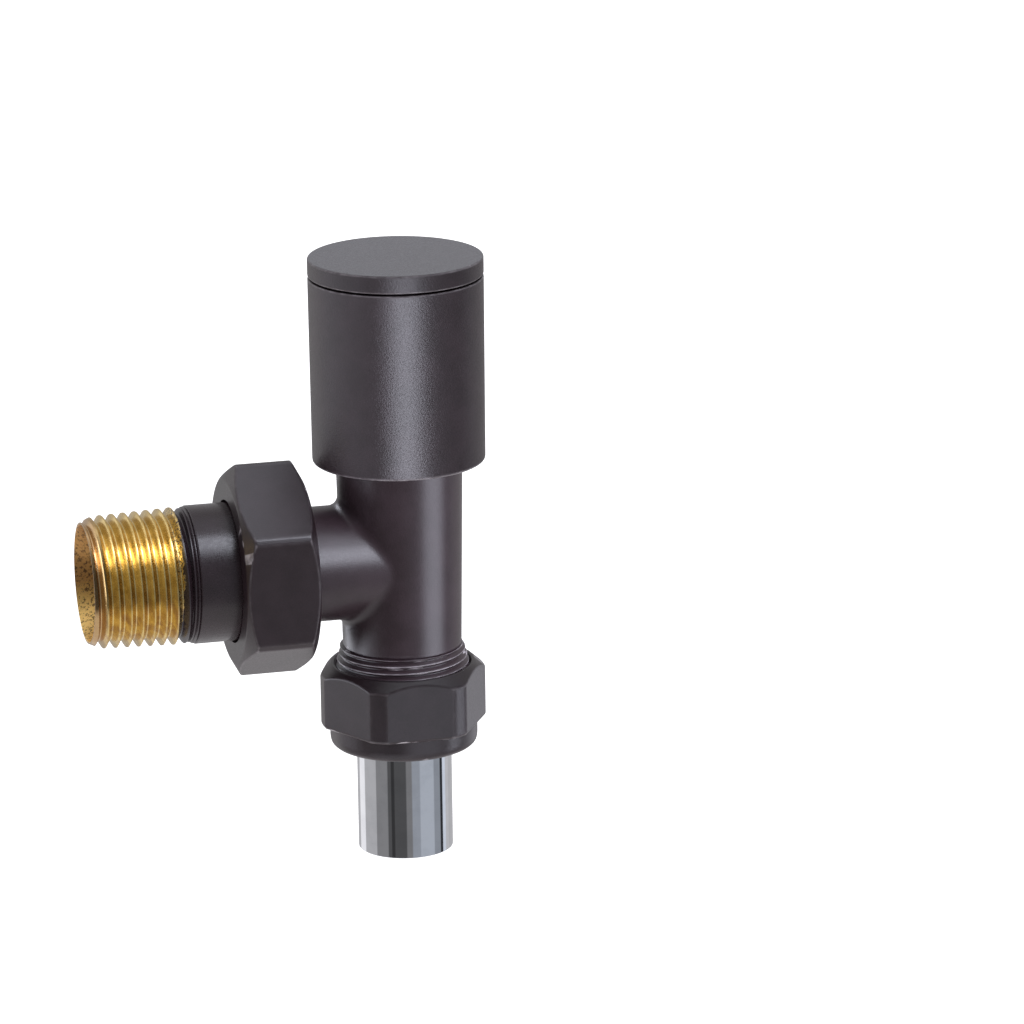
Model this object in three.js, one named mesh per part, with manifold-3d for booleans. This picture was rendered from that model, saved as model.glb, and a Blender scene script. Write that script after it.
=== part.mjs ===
// Angled manual radiator valve: radiator tail, union, tee body, headwork,
// cylindrical handwheel and a 15 mm supply pipe held by a compression joint.
//
// Units are millimetres. The origin is the centre of the tail's open end.
// +X runs along the tail's axis, from the radiator towards the valve.
// +Z is up, along the spindle. The valve is closed and every nut is tight.

import * as THREE from 'three';
import { mergeVertices } from 'three/addons/utils/BufferGeometryUtils.js';
import Module from 'manifold-3d';

const wasm = await Module();
wasm.setup();
const { Manifold } = wasm;

// ---------------------------------------------------------------- sizes

const AXIS_X = 50.25;          // tail's open end to the spindle's axis
const CLEAR = 0.05;            // air left between pieces that touch in use
const PIPE_PITCH = 25.4 / 14;  // G1/2 and G3/4 threads, 14 to the inch
const FINE_PITCH = 25.4 / 24;  // compression thread, 24 to the inch
const DEPTH_SHARE = 0.64;      // thread depth as a share of its pitch

const ROUND = 28;              // facets round a large turned piece
const ROUND_SMALL = 16;        // facets round a small hidden piece
const ROUND_WHEEL = 36;        // facets round the handwheel

// Tail, measured from its open end along +X.
const TAIL_MOUTH_R = 9.12;
const TAIL_RIM_R = 9.45;
const TAIL_BORE_R = 7.5;
const TAIL_CREST_R = 10.36;    // first full crest of the 1:16 taper
const TAIL_CREST_X = 3.22;
const TAIL_CREST_COUNT = 7;
const TAPER = 1 / 32;          // radius gained per mm of taper thread
const COLLAR_R = 10.81;
const COLLAR_X = 15.65;
const FLANGE_R = 11.85;
const FLANGE_X = 25.4;
const TAIL_END_X = 27.4;
const TAIL_KEY_AF = 13;        // hexagon inside the tail for its key

// Union nut, along +X from the tail's open end.
const UNION_AF = 30;
const UNION_CORNER_R = 17.05;   // the hexagon's corners are turned down to this
const UNION_FACE_R = 14.4;
const UNION_X0 = 22.75;
const UNION_X1 = 34.45;
const UNION_LIP = 2.6;
const UNION_LIP_R = 11.15;
const UNION_THREAD_R = 13.22;  // G3/4, major radius

// Tee body, measured from the crossing of its two axes.
const TUBE_TOP_R = 9.9;
const TUBE_LOW_R = 9.35;
const BODY_TOP_Z = 23.0;
const SHOULDER_Z = -13.95;     // where the compression thread starts
const BODY_LOW_Z = -24.4;
const COMPRESSION_THREAD_R = 10.48;
const OUTLET_R = 9.02;
const OUTLET_BORE_R = 7.0;
const OUTLET_END_X = -22.75;
const SPIGOT_BACK_X = -16.6;
const TEE_FILLET_R = 1.8;
const CHAMBER_R = 7.6;
const CHAMBER_FLOOR_Z = -6.8;
const SEAT_R = 5.2;
const SEAT_RIM_R = 6.4;
const SEAT_Z = -6.2;
const SEAT_BACK_Z = -9.8;
const INLET_BORE_R = 6.8;
const PIPE_STOP_Z = -12.6;
const SOCKET_R = 7.62;
const MOUTH_R = 8.9;
const MOUTH_DEPTH = 2.8;
const BONNET_THREAD_R = 8.4;

// Compression joint and pipe.
const COMP_AF = 24;
const COMP_CORNER_R = 13.12;   // the hexagon's corners are turned down to this
const COMP_FACE_R = 11.3;
const COMP_CROWN = 1.62;       // height of the crown's chamfer at the corners
const COMP_TOP_Z = -16.9;
const COMP_HEX_LOW_Z = -26.8;
const COMP_COLLAR_R = 11.65;
const COMP_LOW_Z = -30.25;
const PIPE_R = 7.5;
const PIPE_BORE_R = 6.8;
const PIPE_LOW_Z = -47.5;
const PIPE_HOLE_R = 7.72;
const OLIVE_R = 8.6;
const OLIVE_Z = -25.1;
const OLIVE_HALF_WIDTH = 2.5;
const OLIVE_SEAT_R = 9.35;
const OLIVE_SEAT_Z = -25.4;
const OLIVE_SEAT_LOW_Z = -28.2;

// Headwork.
const BONNET_LOW_Z = 9.5;
const BONNET_SKIRT_R = 7.3;
const BONNET_FLANGE_R = 9.8;
const BONNET_AF = 17;
const BONNET_CORNER_R = 9.5;
const BONNET_O_RING_R = 8.6;
const NECK_R = 7.0;
const NECK_TOP_Z = 34.4;
const PACKING_R = 5.6;
const PACKING_LOW_Z = 31;
const PACKING_TOP_Z = 32.6;
const GLAND_NUT_AF = 12;
const GLAND_NUT_CORNER_R = 6.7;
const GLAND_NUT_TOP_Z = 37.0;
const SPINDLE_R = 4.0;
const SPINDLE_HOLE_R = 4.15;
const SPINDLE_FOOT_R = 4.2;
const SPINDLE_FOOT_Z = -1.44;
const SPINDLE_THREAD_R = 5.0;
const SPINDLE_THREAD_Z = 8;
const SPINDLE_PITCH = 1.5;
const SPINDLE_TOP_Z = 41.8;
const O_RING_SECTION_R = 0.62;
const O_RING_GROOVE_R = 2.75;
const O_RING_LOWER_Z = 22.4;
const O_RING_UPPER_Z = 25.4;
const CLIP_GROOVE_R = 3.3;
const CLIP_LOW_Z = 37.2;
const CLIP_TOP_Z = 38.05;
const SPLINE_COUNT = 20;
const SPLINE_ROOT_R = 3.45;
const SPLINE_CREST_R = 3.85;

// Closure: a jumper that hangs in the spindle's foot and carries the washer.
const STEM_R = 1.8;
const STEM_TOP_Z = 4.6;
const STEM_GROOVE_R = 1.4;
const STEM_GROOVE_LOW_Z = 1.6;
const STEM_GROOVE_TOP_Z = 2.55;
const PLATE_R = 6.6;
const PLATE_LOW_Z = -3.5;
const PLATE_TOP_Z = -1.5;
const STUD_R = 1.9;
const STUD_LOW_Z = -8.9;
const WASHER_R = 6.5;
const WASHER_NUT_AF = 7;
const WASHER_NUT_CORNER_R = 3.9;
const WASHER_NUT_LOW_Z = -8.55;

// Handwheel.
const WHEEL_LOW_R = 13.52;
const WHEEL_TOP_R = 13.66;
const WHEEL_LOW_Z = 16.05;
const WHEEL_RIM_Z = 45.4;
const WHEEL_TOP_Z = 48.5;
const WHEEL_BORE_R = 12.0;
const WEB_LOW_Z = 38.4;
const WEB_TOP_Z = 42.0;
const HUB_R = 6.1;
const HUB_FLANGE_R = 7.4;
const SCREW_R = 1.95;
const SCREW_LOW_Z = 34.2;
const SCREW_HEAD_R = 3.8;
const SCREW_HEAD_Z = 42.66;
const SCREW_TOP_Z = 44.7;
const SCREW_SOCKET_AF = 2.5;
const CAP_LOW_Z = 45.7;
const CAP_SKIRT_R = 11.55;
const CAP_SKIRT_LOW_Z = 42.9;
const CAP_GROOVE_R = 10.5;
const CAP_RING_Z = 44.2;

// -------------------------------------------------------------- helpers

// Makes a solid from a closed geometry, so that others can be added or cut away.
function solidOf(geometry) {
  geometry.deleteAttribute('normal');
  geometry.deleteAttribute('uv');
  const merged = mergeVertices(geometry, 1e-5);
  const corners = merged.index.array;
  const triangles = [];
  for (let i = 0; i < corners.length; i += 3) {
    const [a, b, c] = corners.slice(i, i + 3);
    // Triangles that shrink to nothing on the axis are left out.
    if (a !== b && b !== c && c !== a) {
      triangles.push(a, b, c);
    }
  }
  const positions = merged.attributes.position.array;
  const solid = solidFromArrays(positions, triangles);
  if (solid.volume() > 0) {
    return solid;
  }
  for (let i = 0; i < triangles.length; i += 3) {
    [triangles[i + 1], triangles[i + 2]] = [triangles[i + 2], triangles[i + 1]];
  }
  return solidFromArrays(positions, triangles);
}

function solidFromArrays(positions, triangles) {
  return new Manifold(new wasm.Mesh({
    numProp: 3,
    vertProperties: new Float32Array(positions),
    triVerts: new Uint32Array(triangles),
  }));
}

// Turns a closed [radius, height] outline about Z, or about X for the outlet.
function turned(outline, facets = ROUND, axis = 'z') {
  const profile = [...outline, outline[0]].map(([r, height]) => new THREE.Vector2(r, height));
  const geometry = new THREE.LatheGeometry(profile, facets);
  geometry.rotateX(Math.PI / 2);
  if (axis === 'x') {
    geometry.rotateY(Math.PI / 2);
  }
  return solidOf(geometry);
}

// A plain disc or cylinder, and a plain ring.
function disc(r, z0, z1, facets = ROUND) {
  return turned([[0, z0], [r, z0], [r, z1], [0, z1]], facets);
}

function ring(inner, outer, z0, z1, facets = ROUND_SMALL) {
  return turned([[inner, z0], [outer, z0], [outer, z1], [inner, z1]], facets);
}

// An O-ring of round section.
function oRing(middleR, sectionR, z, facets = ROUND_SMALL) {
  const outline = [];
  const sides = 6;
  for (let i = 0; i < sides; i += 1) {
    const angle = (2 * Math.PI * (i + 0.5)) / sides;
    outline.push([middleR + sectionR * Math.cos(angle), z + sectionR * Math.sin(angle)]);
  }
  return turned(outline, facets);
}

// A hexagon with rounded corners, two of them on the local X axis.
function hexOutline(acrossFlats, cornerR) {
  const sharpCorner = acrossFlats / Math.sqrt(3);
  const rounding = (sharpCorner - cornerR) / (2 / Math.sqrt(3) - 1);
  const centreR = cornerR - rounding;
  const steps = 4;
  const outline = [];
  for (let corner = 0; corner < 6; corner += 1) {
    const direction = (corner * Math.PI) / 3;
    for (let i = 0; i <= steps; i += 1) {
      const angle = direction + (Math.PI / 3) * (i / steps - 0.5);
      outline.push([
        centreR * Math.cos(direction) + rounding * Math.cos(angle),
        centreR * Math.sin(direction) + rounding * Math.sin(angle),
      ]);
    }
  }
  return outline;
}

function sharpHex(acrossFlats) {
  const cornerR = acrossFlats / Math.sqrt(3);
  const outline = [];
  for (let corner = 0; corner < 6; corner += 1) {
    const direction = (corner * Math.PI) / 3;
    outline.push([cornerR * Math.cos(direction), cornerR * Math.sin(direction)]);
  }
  return outline;
}

function prism(outline, z0, z1) {
  const shape = new THREE.Shape(outline.map(([x, y]) => new THREE.Vector2(x, y)));
  const geometry = new THREE.ExtrudeGeometry(shape, { depth: z1 - z0, bevelEnabled: false });
  geometry.translate(0, 0, z0);
  return solidOf(geometry);
}

// Fine straight teeth round a shaft or inside a hub.
function splineOutline(rootR, tipR, teeth) {
  const outline = [];
  for (let i = 0; i < 2 * teeth; i += 1) {
    const r = i % 2 === 0 ? tipR : rootR;
    const angle = (Math.PI * i) / teeth;
    outline.push([r * Math.cos(angle), r * Math.sin(angle)]);
  }
  return outline;
}

// Outline points of ridges one pitch apart, ending in a root at height top.
// The two highest ridges are lower than the rest, where the die ran out.
function ridges(top, count, crestR, pitch) {
  const points = [];
  for (let i = count; i > 0; i -= 1) {
    const runOut = Math.max(0, 3 - i) * 0.31;
    points.push([crestR - DEPTH_SHARE * pitch - runOut / 2, top - i * pitch]);
    points.push([crestR - runOut, top - (i - 0.5) * pitch]);
  }
  points.push([tubeRadius(top) + 0.1, top]);
  return points;
}

// Radius of the tee's upright tube, which has a slight casting draft.
function tubeRadius(z) {
  const share = (z - SHOULDER_Z) / (WHEEL_LOW_Z - SHOULDER_Z);
  return TUBE_LOW_R + (TUBE_TOP_R - TUBE_LOW_R) * Math.min(1, share);
}

// ------------------------------------------------------- tail and union

function radiatorTail() {
  const outline = [[TAIL_MOUTH_R, 0], [TAIL_RIM_R, 0], [9.95, 1.2], [9.2, 2.3]];
  for (let i = 0; i < TAIL_CREST_COUNT; i += 1) {
    const x = TAIL_CREST_X + i * PIPE_PITCH;
    const crest = TAIL_CREST_R + i * PIPE_PITCH * TAPER;
    outline.push([crest, x]);
    if (i < TAIL_CREST_COUNT - 1) {
      outline.push([crest - DEPTH_SHARE * PIPE_PITCH, x + PIPE_PITCH / 2]);
    }
  }
  outline.push([COLLAR_R - 0.6, COLLAR_X - 0.6], [COLLAR_R, COLLAR_X]);
  outline.push([COLLAR_R, FLANGE_X], [FLANGE_R, FLANGE_X], [FLANGE_R, TAIL_END_X]);
  // Groove for the sealing ring in the end face.
  outline.push([10.5, TAIL_END_X], [10.5, TAIL_END_X - 1.4]);
  outline.push([8.5, TAIL_END_X - 1.4], [8.5, TAIL_END_X], [TAIL_BORE_R, TAIL_END_X]);
  outline.push([TAIL_BORE_R, 20.6], [6.4, 20], [6.4, 8.2], [7.9, 7.6], [7.9, 4.6]);
  const key = prism(sharpHex(TAIL_KEY_AF), 7.8, 20.4);
  return turned(outline).subtract(key);
}

function unionSealRing() {
  return oRing(9.5, 0.72, TAIL_END_X - 0.66);
}

function unionNut() {
  const chamfer = 1.4;
  const threadR = UNION_THREAD_R + 0.12;
  const envelope = turned([
    [0, UNION_X0], [UNION_FACE_R, UNION_X0], [UNION_CORNER_R, UNION_X0 + chamfer],
    [UNION_CORNER_R, UNION_X1 - chamfer], [UNION_FACE_R, UNION_X1], [0, UNION_X1],
  ]);
  const bore = turned([
    [0, UNION_X0 - 1], [UNION_LIP_R + 0.3, UNION_X0 - 1], [UNION_LIP_R + 0.3, UNION_X0],
    [UNION_LIP_R, UNION_X0 + 0.3], [UNION_LIP_R, UNION_X0 + UNION_LIP],
    [threadR, UNION_X0 + UNION_LIP], [threadR, UNION_X1 - 0.6],
    [threadR + 0.48, UNION_X1], [threadR + 0.48, UNION_X1 + 1], [0, UNION_X1 + 1],
  ]);
  return prism(sharpHex(UNION_AF), UNION_X0, UNION_X1).intersect(envelope).subtract(bore);
}

// ------------------------------------------------------------- tee body

// The fillet a ball leaves as it rolls round the crossing of the two tubes.
function teeFillet() {
  const steps = 3;
  const loop = 28;
  const sections = [];
  for (let i = 0; i < loop; i += 1) {
    const turn = (2 * Math.PI * i) / loop;
    const ballR = OUTLET_R + TEE_FILLET_R;
    const y = ballR * Math.cos(turn);
    const z = ballR * Math.sin(turn);
    const tubeR = tubeRadius(z);
    const x = -Math.sqrt((tubeR + TEE_FILLET_R) ** 2 - y * y);
    const centre = new THREE.Vector3(x, y, z);
    const toOutlet = new THREE.Vector3(0, -Math.cos(turn), -Math.sin(turn));
    const toTube = new THREE.Vector3(-x, -y, 0).normalize();
    const angle = toOutlet.angleTo(toTube);
    const section = [];
    for (let j = 0; j <= steps; j += 1) {
      const share = j / steps;
      const direction = toOutlet.clone().multiplyScalar(Math.sin((1 - share) * angle));
      direction.addScaledVector(toTube, Math.sin(share * angle));
      direction.divideScalar(Math.sin(angle));
      const sink = j === 0 || j === steps ? TEE_FILLET_R + 0.08 : TEE_FILLET_R;
      section.push(centre.clone().addScaledVector(direction, sink));
    }
    // One more corner, buried in the wall, closes the section.
    const inward = toOutlet.clone().add(toTube).normalize();
    section.push(centre.clone().addScaledVector(inward, TEE_FILLET_R * 1.9));
    sections.push(section);
  }
  return sweptLoop(sections);
}

// Joins equal sections into a closed ring and returns it as a solid.
function sweptLoop(sections) {
  const corners = sections[0].length;
  const triangles = [];
  for (let i = 0; i < sections.length; i += 1) {
    const next = (i + 1) % sections.length;
    for (let j = 0; j < corners; j += 1) {
      const other = (j + 1) % corners;
      const a = i * corners + j;
      const b = i * corners + other;
      const c = next * corners + j;
      const d = next * corners + other;
      triangles.push(a, b, c, b, d, c);
    }
  }
  const geometry = new THREE.BufferGeometry().setFromPoints(sections.flat());
  geometry.setIndex(triangles);
  return solidOf(geometry);
}

function valveBody() {
  // Only the ridges of the compression thread that show above its nut are drawn.
  const ridgeCount = 4;
  const uprightOutline = [
    [0, BODY_LOW_Z], [COMPRESSION_THREAD_R - 0.8, BODY_LOW_Z],
    [COMPRESSION_THREAD_R, BODY_LOW_Z + 0.8],
    [COMPRESSION_THREAD_R, SHOULDER_Z - (ridgeCount + 0.5) * FINE_PITCH],
    ...ridges(SHOULDER_Z, ridgeCount, COMPRESSION_THREAD_R, FINE_PITCH),
    [tubeRadius(SHOULDER_Z), SHOULDER_Z + 0.3],
  ];
  uprightOutline.push([tubeRadius(WHEEL_LOW_Z), WHEEL_LOW_Z]);
  uprightOutline.push([TUBE_TOP_R, BODY_TOP_Z - 0.4], [TUBE_TOP_R - 0.4, BODY_TOP_Z]);
  uprightOutline.push([0, BODY_TOP_Z]);
  const upright = turned(uprightOutline);

  // The outlet ends in the union's male thread, drawn plain at its crests.
  const outletOutline = [
    [0, OUTLET_END_X], [UNION_THREAD_R - 1, OUTLET_END_X],
    [UNION_THREAD_R, OUTLET_END_X + 1], [UNION_THREAD_R, SPIGOT_BACK_X - 1],
    [UNION_THREAD_R - 1, SPIGOT_BACK_X], [OUTLET_R, SPIGOT_BACK_X + 1.2],
  ];
  outletOutline.push([OUTLET_R, 0], [0, 0]);
  const outlet = turned(outletOutline, ROUND, 'x');

  const chamber = turned([
    [0, SEAT_BACK_Z], [SEAT_R, SEAT_BACK_Z], [SEAT_R, SEAT_Z], [SEAT_RIM_R, SEAT_Z],
    [SEAT_RIM_R, CHAMBER_FLOOR_Z], [CHAMBER_R, CHAMBER_FLOOR_Z], [CHAMBER_R, 12.4],
    [BONNET_THREAD_R, 12.4], [BONNET_THREAD_R, BODY_TOP_Z - 1.1],
    [9.3, BODY_TOP_Z - 1.1], [9.3, BODY_TOP_Z + 1], [0, BODY_TOP_Z + 1],
  ]);
  const inlet = turned([
    [0, BODY_LOW_Z - 1], [MOUTH_R, BODY_LOW_Z - 1], [MOUTH_R, BODY_LOW_Z],
    [SOCKET_R, BODY_LOW_Z + MOUTH_DEPTH], [SOCKET_R, PIPE_STOP_Z],
    [INLET_BORE_R, PIPE_STOP_Z], [INLET_BORE_R, SEAT_BACK_Z - 0.6],
    [SEAT_R, SEAT_BACK_Z + 0.01], [0, SEAT_BACK_Z + 0.01],
  ]);
  const outletBore = turned([
    [0, OUTLET_END_X - 1], [OUTLET_BORE_R, OUTLET_END_X - 1], [OUTLET_BORE_R, -7], [0, -7],
  ], ROUND, 'x');
  return upright.add(outlet).add(teeFillet())
    .subtract(chamber).subtract(inlet).subtract(outletBore);
}

// ------------------------------------------------------------- headwork

function bonnet() {
  const threadR = BONNET_THREAD_R - 0.08;
  const recess = 7.9;
  const outside = turned([
    [0, BONNET_LOW_Z], [BONNET_SKIRT_R, BONNET_LOW_Z], [BONNET_SKIRT_R, 12.6],
    [threadR, 13], [threadR, BODY_TOP_Z - 1.4], [recess, BODY_TOP_Z - 1.2],
    [recess, BODY_TOP_Z + 0.1], [BONNET_FLANGE_R, BODY_TOP_Z + 0.1],
    [BONNET_FLANGE_R, BODY_TOP_Z + 1.3], [0, BODY_TOP_Z + 1.3],
  ]);
  const hexagon = prism(
    hexOutline(BONNET_AF, BONNET_CORNER_R), BODY_TOP_Z + 1.2, BODY_TOP_Z + 5.3,
  );
  const neck = disc(NECK_R, BODY_TOP_Z + 5.2, NECK_TOP_Z, ROUND_SMALL);
  const tappedR = SPINDLE_THREAD_R + 0.12;
  const tappedTop = O_RING_LOWER_Z - 2.2;
  const bore = turned([
    [0, BONNET_LOW_Z - 1], [tappedR, BONNET_LOW_Z - 1], [tappedR, tappedTop],
    [SPINDLE_HOLE_R, tappedTop + 0.6], [SPINDLE_HOLE_R, PACKING_LOW_Z],
    [PACKING_R, PACKING_LOW_Z], [PACKING_R, NECK_TOP_Z + 1], [0, NECK_TOP_Z + 1],
  ], ROUND_SMALL);
  return outside.add(hexagon).add(neck).subtract(bore);
}

function bonnetORing() {
  return oRing(BONNET_O_RING_R, 0.57, BODY_TOP_Z - 0.5);
}

function glandPacking() {
  return ring(SPINDLE_R + 0.1, PACKING_R - 0.08, PACKING_LOW_Z + 0.06, PACKING_TOP_Z);
}

function glandNut() {
  const thread = disc(PACKING_R - 0.1, PACKING_TOP_Z + 0.06, NECK_TOP_Z + 0.2, ROUND_SMALL);
  const outline = hexOutline(GLAND_NUT_AF, GLAND_NUT_CORNER_R);
  const head = prism(outline, NECK_TOP_Z + 0.1, GLAND_NUT_TOP_Z);
  const bore = disc(SPINDLE_HOLE_R, PACKING_LOW_Z, GLAND_NUT_TOP_Z + 1, ROUND_SMALL);
  return thread.add(head).subtract(bore);
}

function spindle() {
  const outline = [
    [0, SPINDLE_FOOT_Z], [SPINDLE_FOOT_R, SPINDLE_FOOT_Z],
    [SPINDLE_FOOT_R, SPINDLE_THREAD_Z], [SPINDLE_THREAD_R - 0.6, SPINDLE_THREAD_Z],
  ];
  for (let i = 0; i < 4; i += 1) {
    const start = SPINDLE_THREAD_Z + 0.4;
    outline.push([SPINDLE_THREAD_R, start + (i + 0.3) * SPINDLE_PITCH]);
    outline.push([SPINDLE_THREAD_R - 0.8, start + (i + 0.85) * SPINDLE_PITCH]);
  }
  outline.push([SPINDLE_R, 14.9]);
  for (const middle of [O_RING_LOWER_Z, O_RING_UPPER_Z]) {
    outline.push([SPINDLE_R, middle - 0.85], [O_RING_GROOVE_R, middle - 0.85]);
    outline.push([O_RING_GROOVE_R, middle + 0.85], [SPINDLE_R, middle + 0.85]);
  }
  outline.push([SPINDLE_R, CLIP_LOW_Z], [CLIP_GROOVE_R, CLIP_LOW_Z]);
  outline.push([CLIP_GROOVE_R, CLIP_TOP_Z], [SPINDLE_R, CLIP_TOP_Z]);
  outline.push([SPINDLE_R, CLIP_TOP_Z + 0.15], [0, CLIP_TOP_Z + 0.15]);
  const shaft = turned(outline, ROUND_SMALL);
  const teeth = splineOutline(SPLINE_ROOT_R, SPLINE_CREST_R, SPLINE_COUNT);
  const splines = prism(teeth, CLIP_TOP_Z + 0.05, SPINDLE_TOP_Z);
  const screwHole = disc(SCREW_R + 0.13, SCREW_LOW_Z - 0.6, SPINDLE_TOP_Z + 1, ROUND_SMALL);
  const stemHoleR = STEM_R + 0.15;
  const clipRoomR = 2.8;
  const stemHole = turned([
    [0, SPINDLE_FOOT_Z - 1], [stemHoleR, SPINDLE_FOOT_Z - 1], [stemHoleR, 1.5],
    [clipRoomR, 1.5], [clipRoomR, 2.7], [stemHoleR, 2.7],
    [stemHoleR, STEM_TOP_Z + 0.4], [0, STEM_TOP_Z + 0.4],
  ], ROUND_SMALL);
  return shaft.add(splines).subtract(screwHole).subtract(stemHole);
}

function spindleORing(z) {
  return oRing(3.44, O_RING_SECTION_R, z);
}

// An open circlip in the groove at the spindle's head.
function circlip() {
  const clipR = 5.3;
  const whole = ring(CLIP_GROOVE_R + 0.06, clipR, CLIP_LOW_Z + 0.06, CLIP_TOP_Z - 0.07);
  const gap = new THREE.BoxGeometry(6, 3, 2);
  gap.translate(5, 0, (CLIP_LOW_Z + CLIP_TOP_Z) / 2);
  return whole.subtract(solidOf(gap));
}

// -------------------------------------------------------------- closure

function jumper() {
  const outline = [
    [0, STUD_LOW_Z], [STUD_R, STUD_LOW_Z], [STUD_R, PLATE_LOW_Z],
    [PLATE_R, PLATE_LOW_Z], [PLATE_R, PLATE_TOP_Z], [STEM_R, PLATE_TOP_Z],
    [STEM_R, STEM_GROOVE_LOW_Z], [STEM_GROOVE_R, STEM_GROOVE_LOW_Z],
    [STEM_GROOVE_R, STEM_GROOVE_TOP_Z], [STEM_R, STEM_GROOVE_TOP_Z],
    [STEM_R, STEM_TOP_Z - 0.3], [STEM_R - 0.3, STEM_TOP_Z], [0, STEM_TOP_Z],
  ];
  return turned(outline, ROUND_SMALL);
}

function jumperClip() {
  return ring(STEM_GROOVE_R + 0.06, 2.6, STEM_GROOVE_LOW_Z + 0.15, STEM_GROOVE_TOP_Z - 0.15);
}

function seatWasher() {
  return ring(STUD_R + 0.1, WASHER_R, SEAT_Z + CLEAR, PLATE_LOW_Z - CLEAR);
}

function washerNut() {
  const outline = hexOutline(WASHER_NUT_AF, WASHER_NUT_CORNER_R);
  const body = prism(outline, WASHER_NUT_LOW_Z, SEAT_Z - 0.02);
  return body.subtract(disc(STUD_R + 0.1, STUD_LOW_Z - 1, SEAT_Z + 1));
}

// ------------------------------------------------------------ handwheel

function handwheelShell() {
  const recessR = CAP_SKIRT_R + 0.15;
  const hubHoleR = HUB_R + 0.1;
  const outline = [
    [WHEEL_BORE_R, WHEEL_LOW_Z], [WHEEL_LOW_R - 0.25, WHEEL_LOW_Z],
    [WHEEL_LOW_R, WHEEL_LOW_Z + 0.25], [WHEEL_TOP_R, WHEEL_RIM_Z - 0.2],
    [WHEEL_TOP_R - 0.2, WHEEL_RIM_Z], [recessR, WHEEL_RIM_Z], [recessR, WEB_TOP_Z],
    [hubHoleR, WEB_TOP_Z], [hubHoleR, WEB_LOW_Z], [WHEEL_BORE_R - 1.2, WEB_LOW_Z],
    [WHEEL_BORE_R, WEB_LOW_Z - 1.2],
  ];
  return turned(outline, ROUND_WHEEL);
}

function handwheelInsert() {
  const hub = disc(HUB_R, WEB_LOW_Z - 0.5, WEB_TOP_Z, ROUND_WHEEL);
  const reliefR = 5.5;
  const flange = ring(
    reliefR + 0.1, HUB_FLANGE_R, WEB_LOW_Z - 0.9, WEB_LOW_Z - CLEAR, ROUND_WHEEL,
  );
  const teeth = splineOutline(SPLINE_ROOT_R + 0.15, SPLINE_CREST_R + 0.15, SPLINE_COUNT);
  const hole = prism(teeth, WEB_LOW_Z - 2, WEB_TOP_Z + 1);
  const relief = disc(reliefR, WEB_LOW_Z - 2, WEB_LOW_Z - 0.1, ROUND_WHEEL);
  return hub.add(flange).subtract(hole).subtract(relief);
}

function screwWasher() {
  return ring(SCREW_R + 0.2, 5.6, WEB_TOP_Z + CLEAR, WEB_TOP_Z + 0.6);
}

function handwheelScrew() {
  const outline = [
    [0, SCREW_LOW_Z], [SCREW_R - 0.25, SCREW_LOW_Z], [SCREW_R, SCREW_LOW_Z + 0.4],
    [SCREW_R, SCREW_HEAD_Z], [SCREW_HEAD_R, SCREW_HEAD_Z],
    [SCREW_HEAD_R, SCREW_TOP_Z - 0.8], [SCREW_HEAD_R - 0.8, SCREW_TOP_Z], [0, SCREW_TOP_Z],
  ];
  const socket = prism(sharpHex(SCREW_SOCKET_AF), SCREW_TOP_Z - 1.4, SCREW_TOP_Z + 1);
  return turned(outline, ROUND_SMALL).subtract(socket);
}

function handwheelCap() {
  const edge = 0.3;
  const skirtTop = 44.9;
  const grooveLow = 43.5;
  const hollowR = 9.4;
  const outline = [
    [0, WHEEL_TOP_Z], [WHEEL_TOP_R - edge, WHEEL_TOP_Z], [WHEEL_TOP_R, WHEEL_TOP_Z - edge],
    [WHEEL_TOP_R, CAP_LOW_Z + 0.15], [WHEEL_TOP_R - 0.15, CAP_LOW_Z],
    [CAP_SKIRT_R, CAP_LOW_Z], [CAP_SKIRT_R, skirtTop], [CAP_GROOVE_R, skirtTop],
    [CAP_GROOVE_R, grooveLow], [CAP_SKIRT_R, grooveLow], [CAP_SKIRT_R, CAP_SKIRT_LOW_Z],
    [hollowR, CAP_SKIRT_LOW_Z], [hollowR, CAP_LOW_Z + 0.2], [0, CAP_LOW_Z + 0.2],
  ];
  return turned(outline, ROUND_WHEEL);
}

function capRing() {
  return oRing(CAP_GROOVE_R + 0.56, 0.52, CAP_RING_Z, ROUND_WHEEL);
}

// ----------------------------------------------------- compression joint

function supplyPipe() {
  const outline = [
    [PIPE_BORE_R, PIPE_LOW_Z], [PIPE_R, PIPE_LOW_Z], [PIPE_R, PIPE_STOP_Z - 0.3],
    [PIPE_R - 0.2, PIPE_STOP_Z - 0.1], [PIPE_BORE_R, PIPE_STOP_Z - 0.1],
  ];
  return turned(outline);
}

function compressionOlive() {
  const boreR = PIPE_R + 0.06;
  const endR = OLIVE_R - 0.65;
  const outline = [
    [boreR, OLIVE_Z - OLIVE_HALF_WIDTH], [endR, OLIVE_Z - OLIVE_HALF_WIDTH],
    [OLIVE_R, OLIVE_Z - 0.7], [OLIVE_R, OLIVE_Z + 0.7],
    [endR, OLIVE_Z + OLIVE_HALF_WIDTH], [boreR, OLIVE_Z + OLIVE_HALF_WIDTH],
  ];
  return turned(outline);
}

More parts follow.
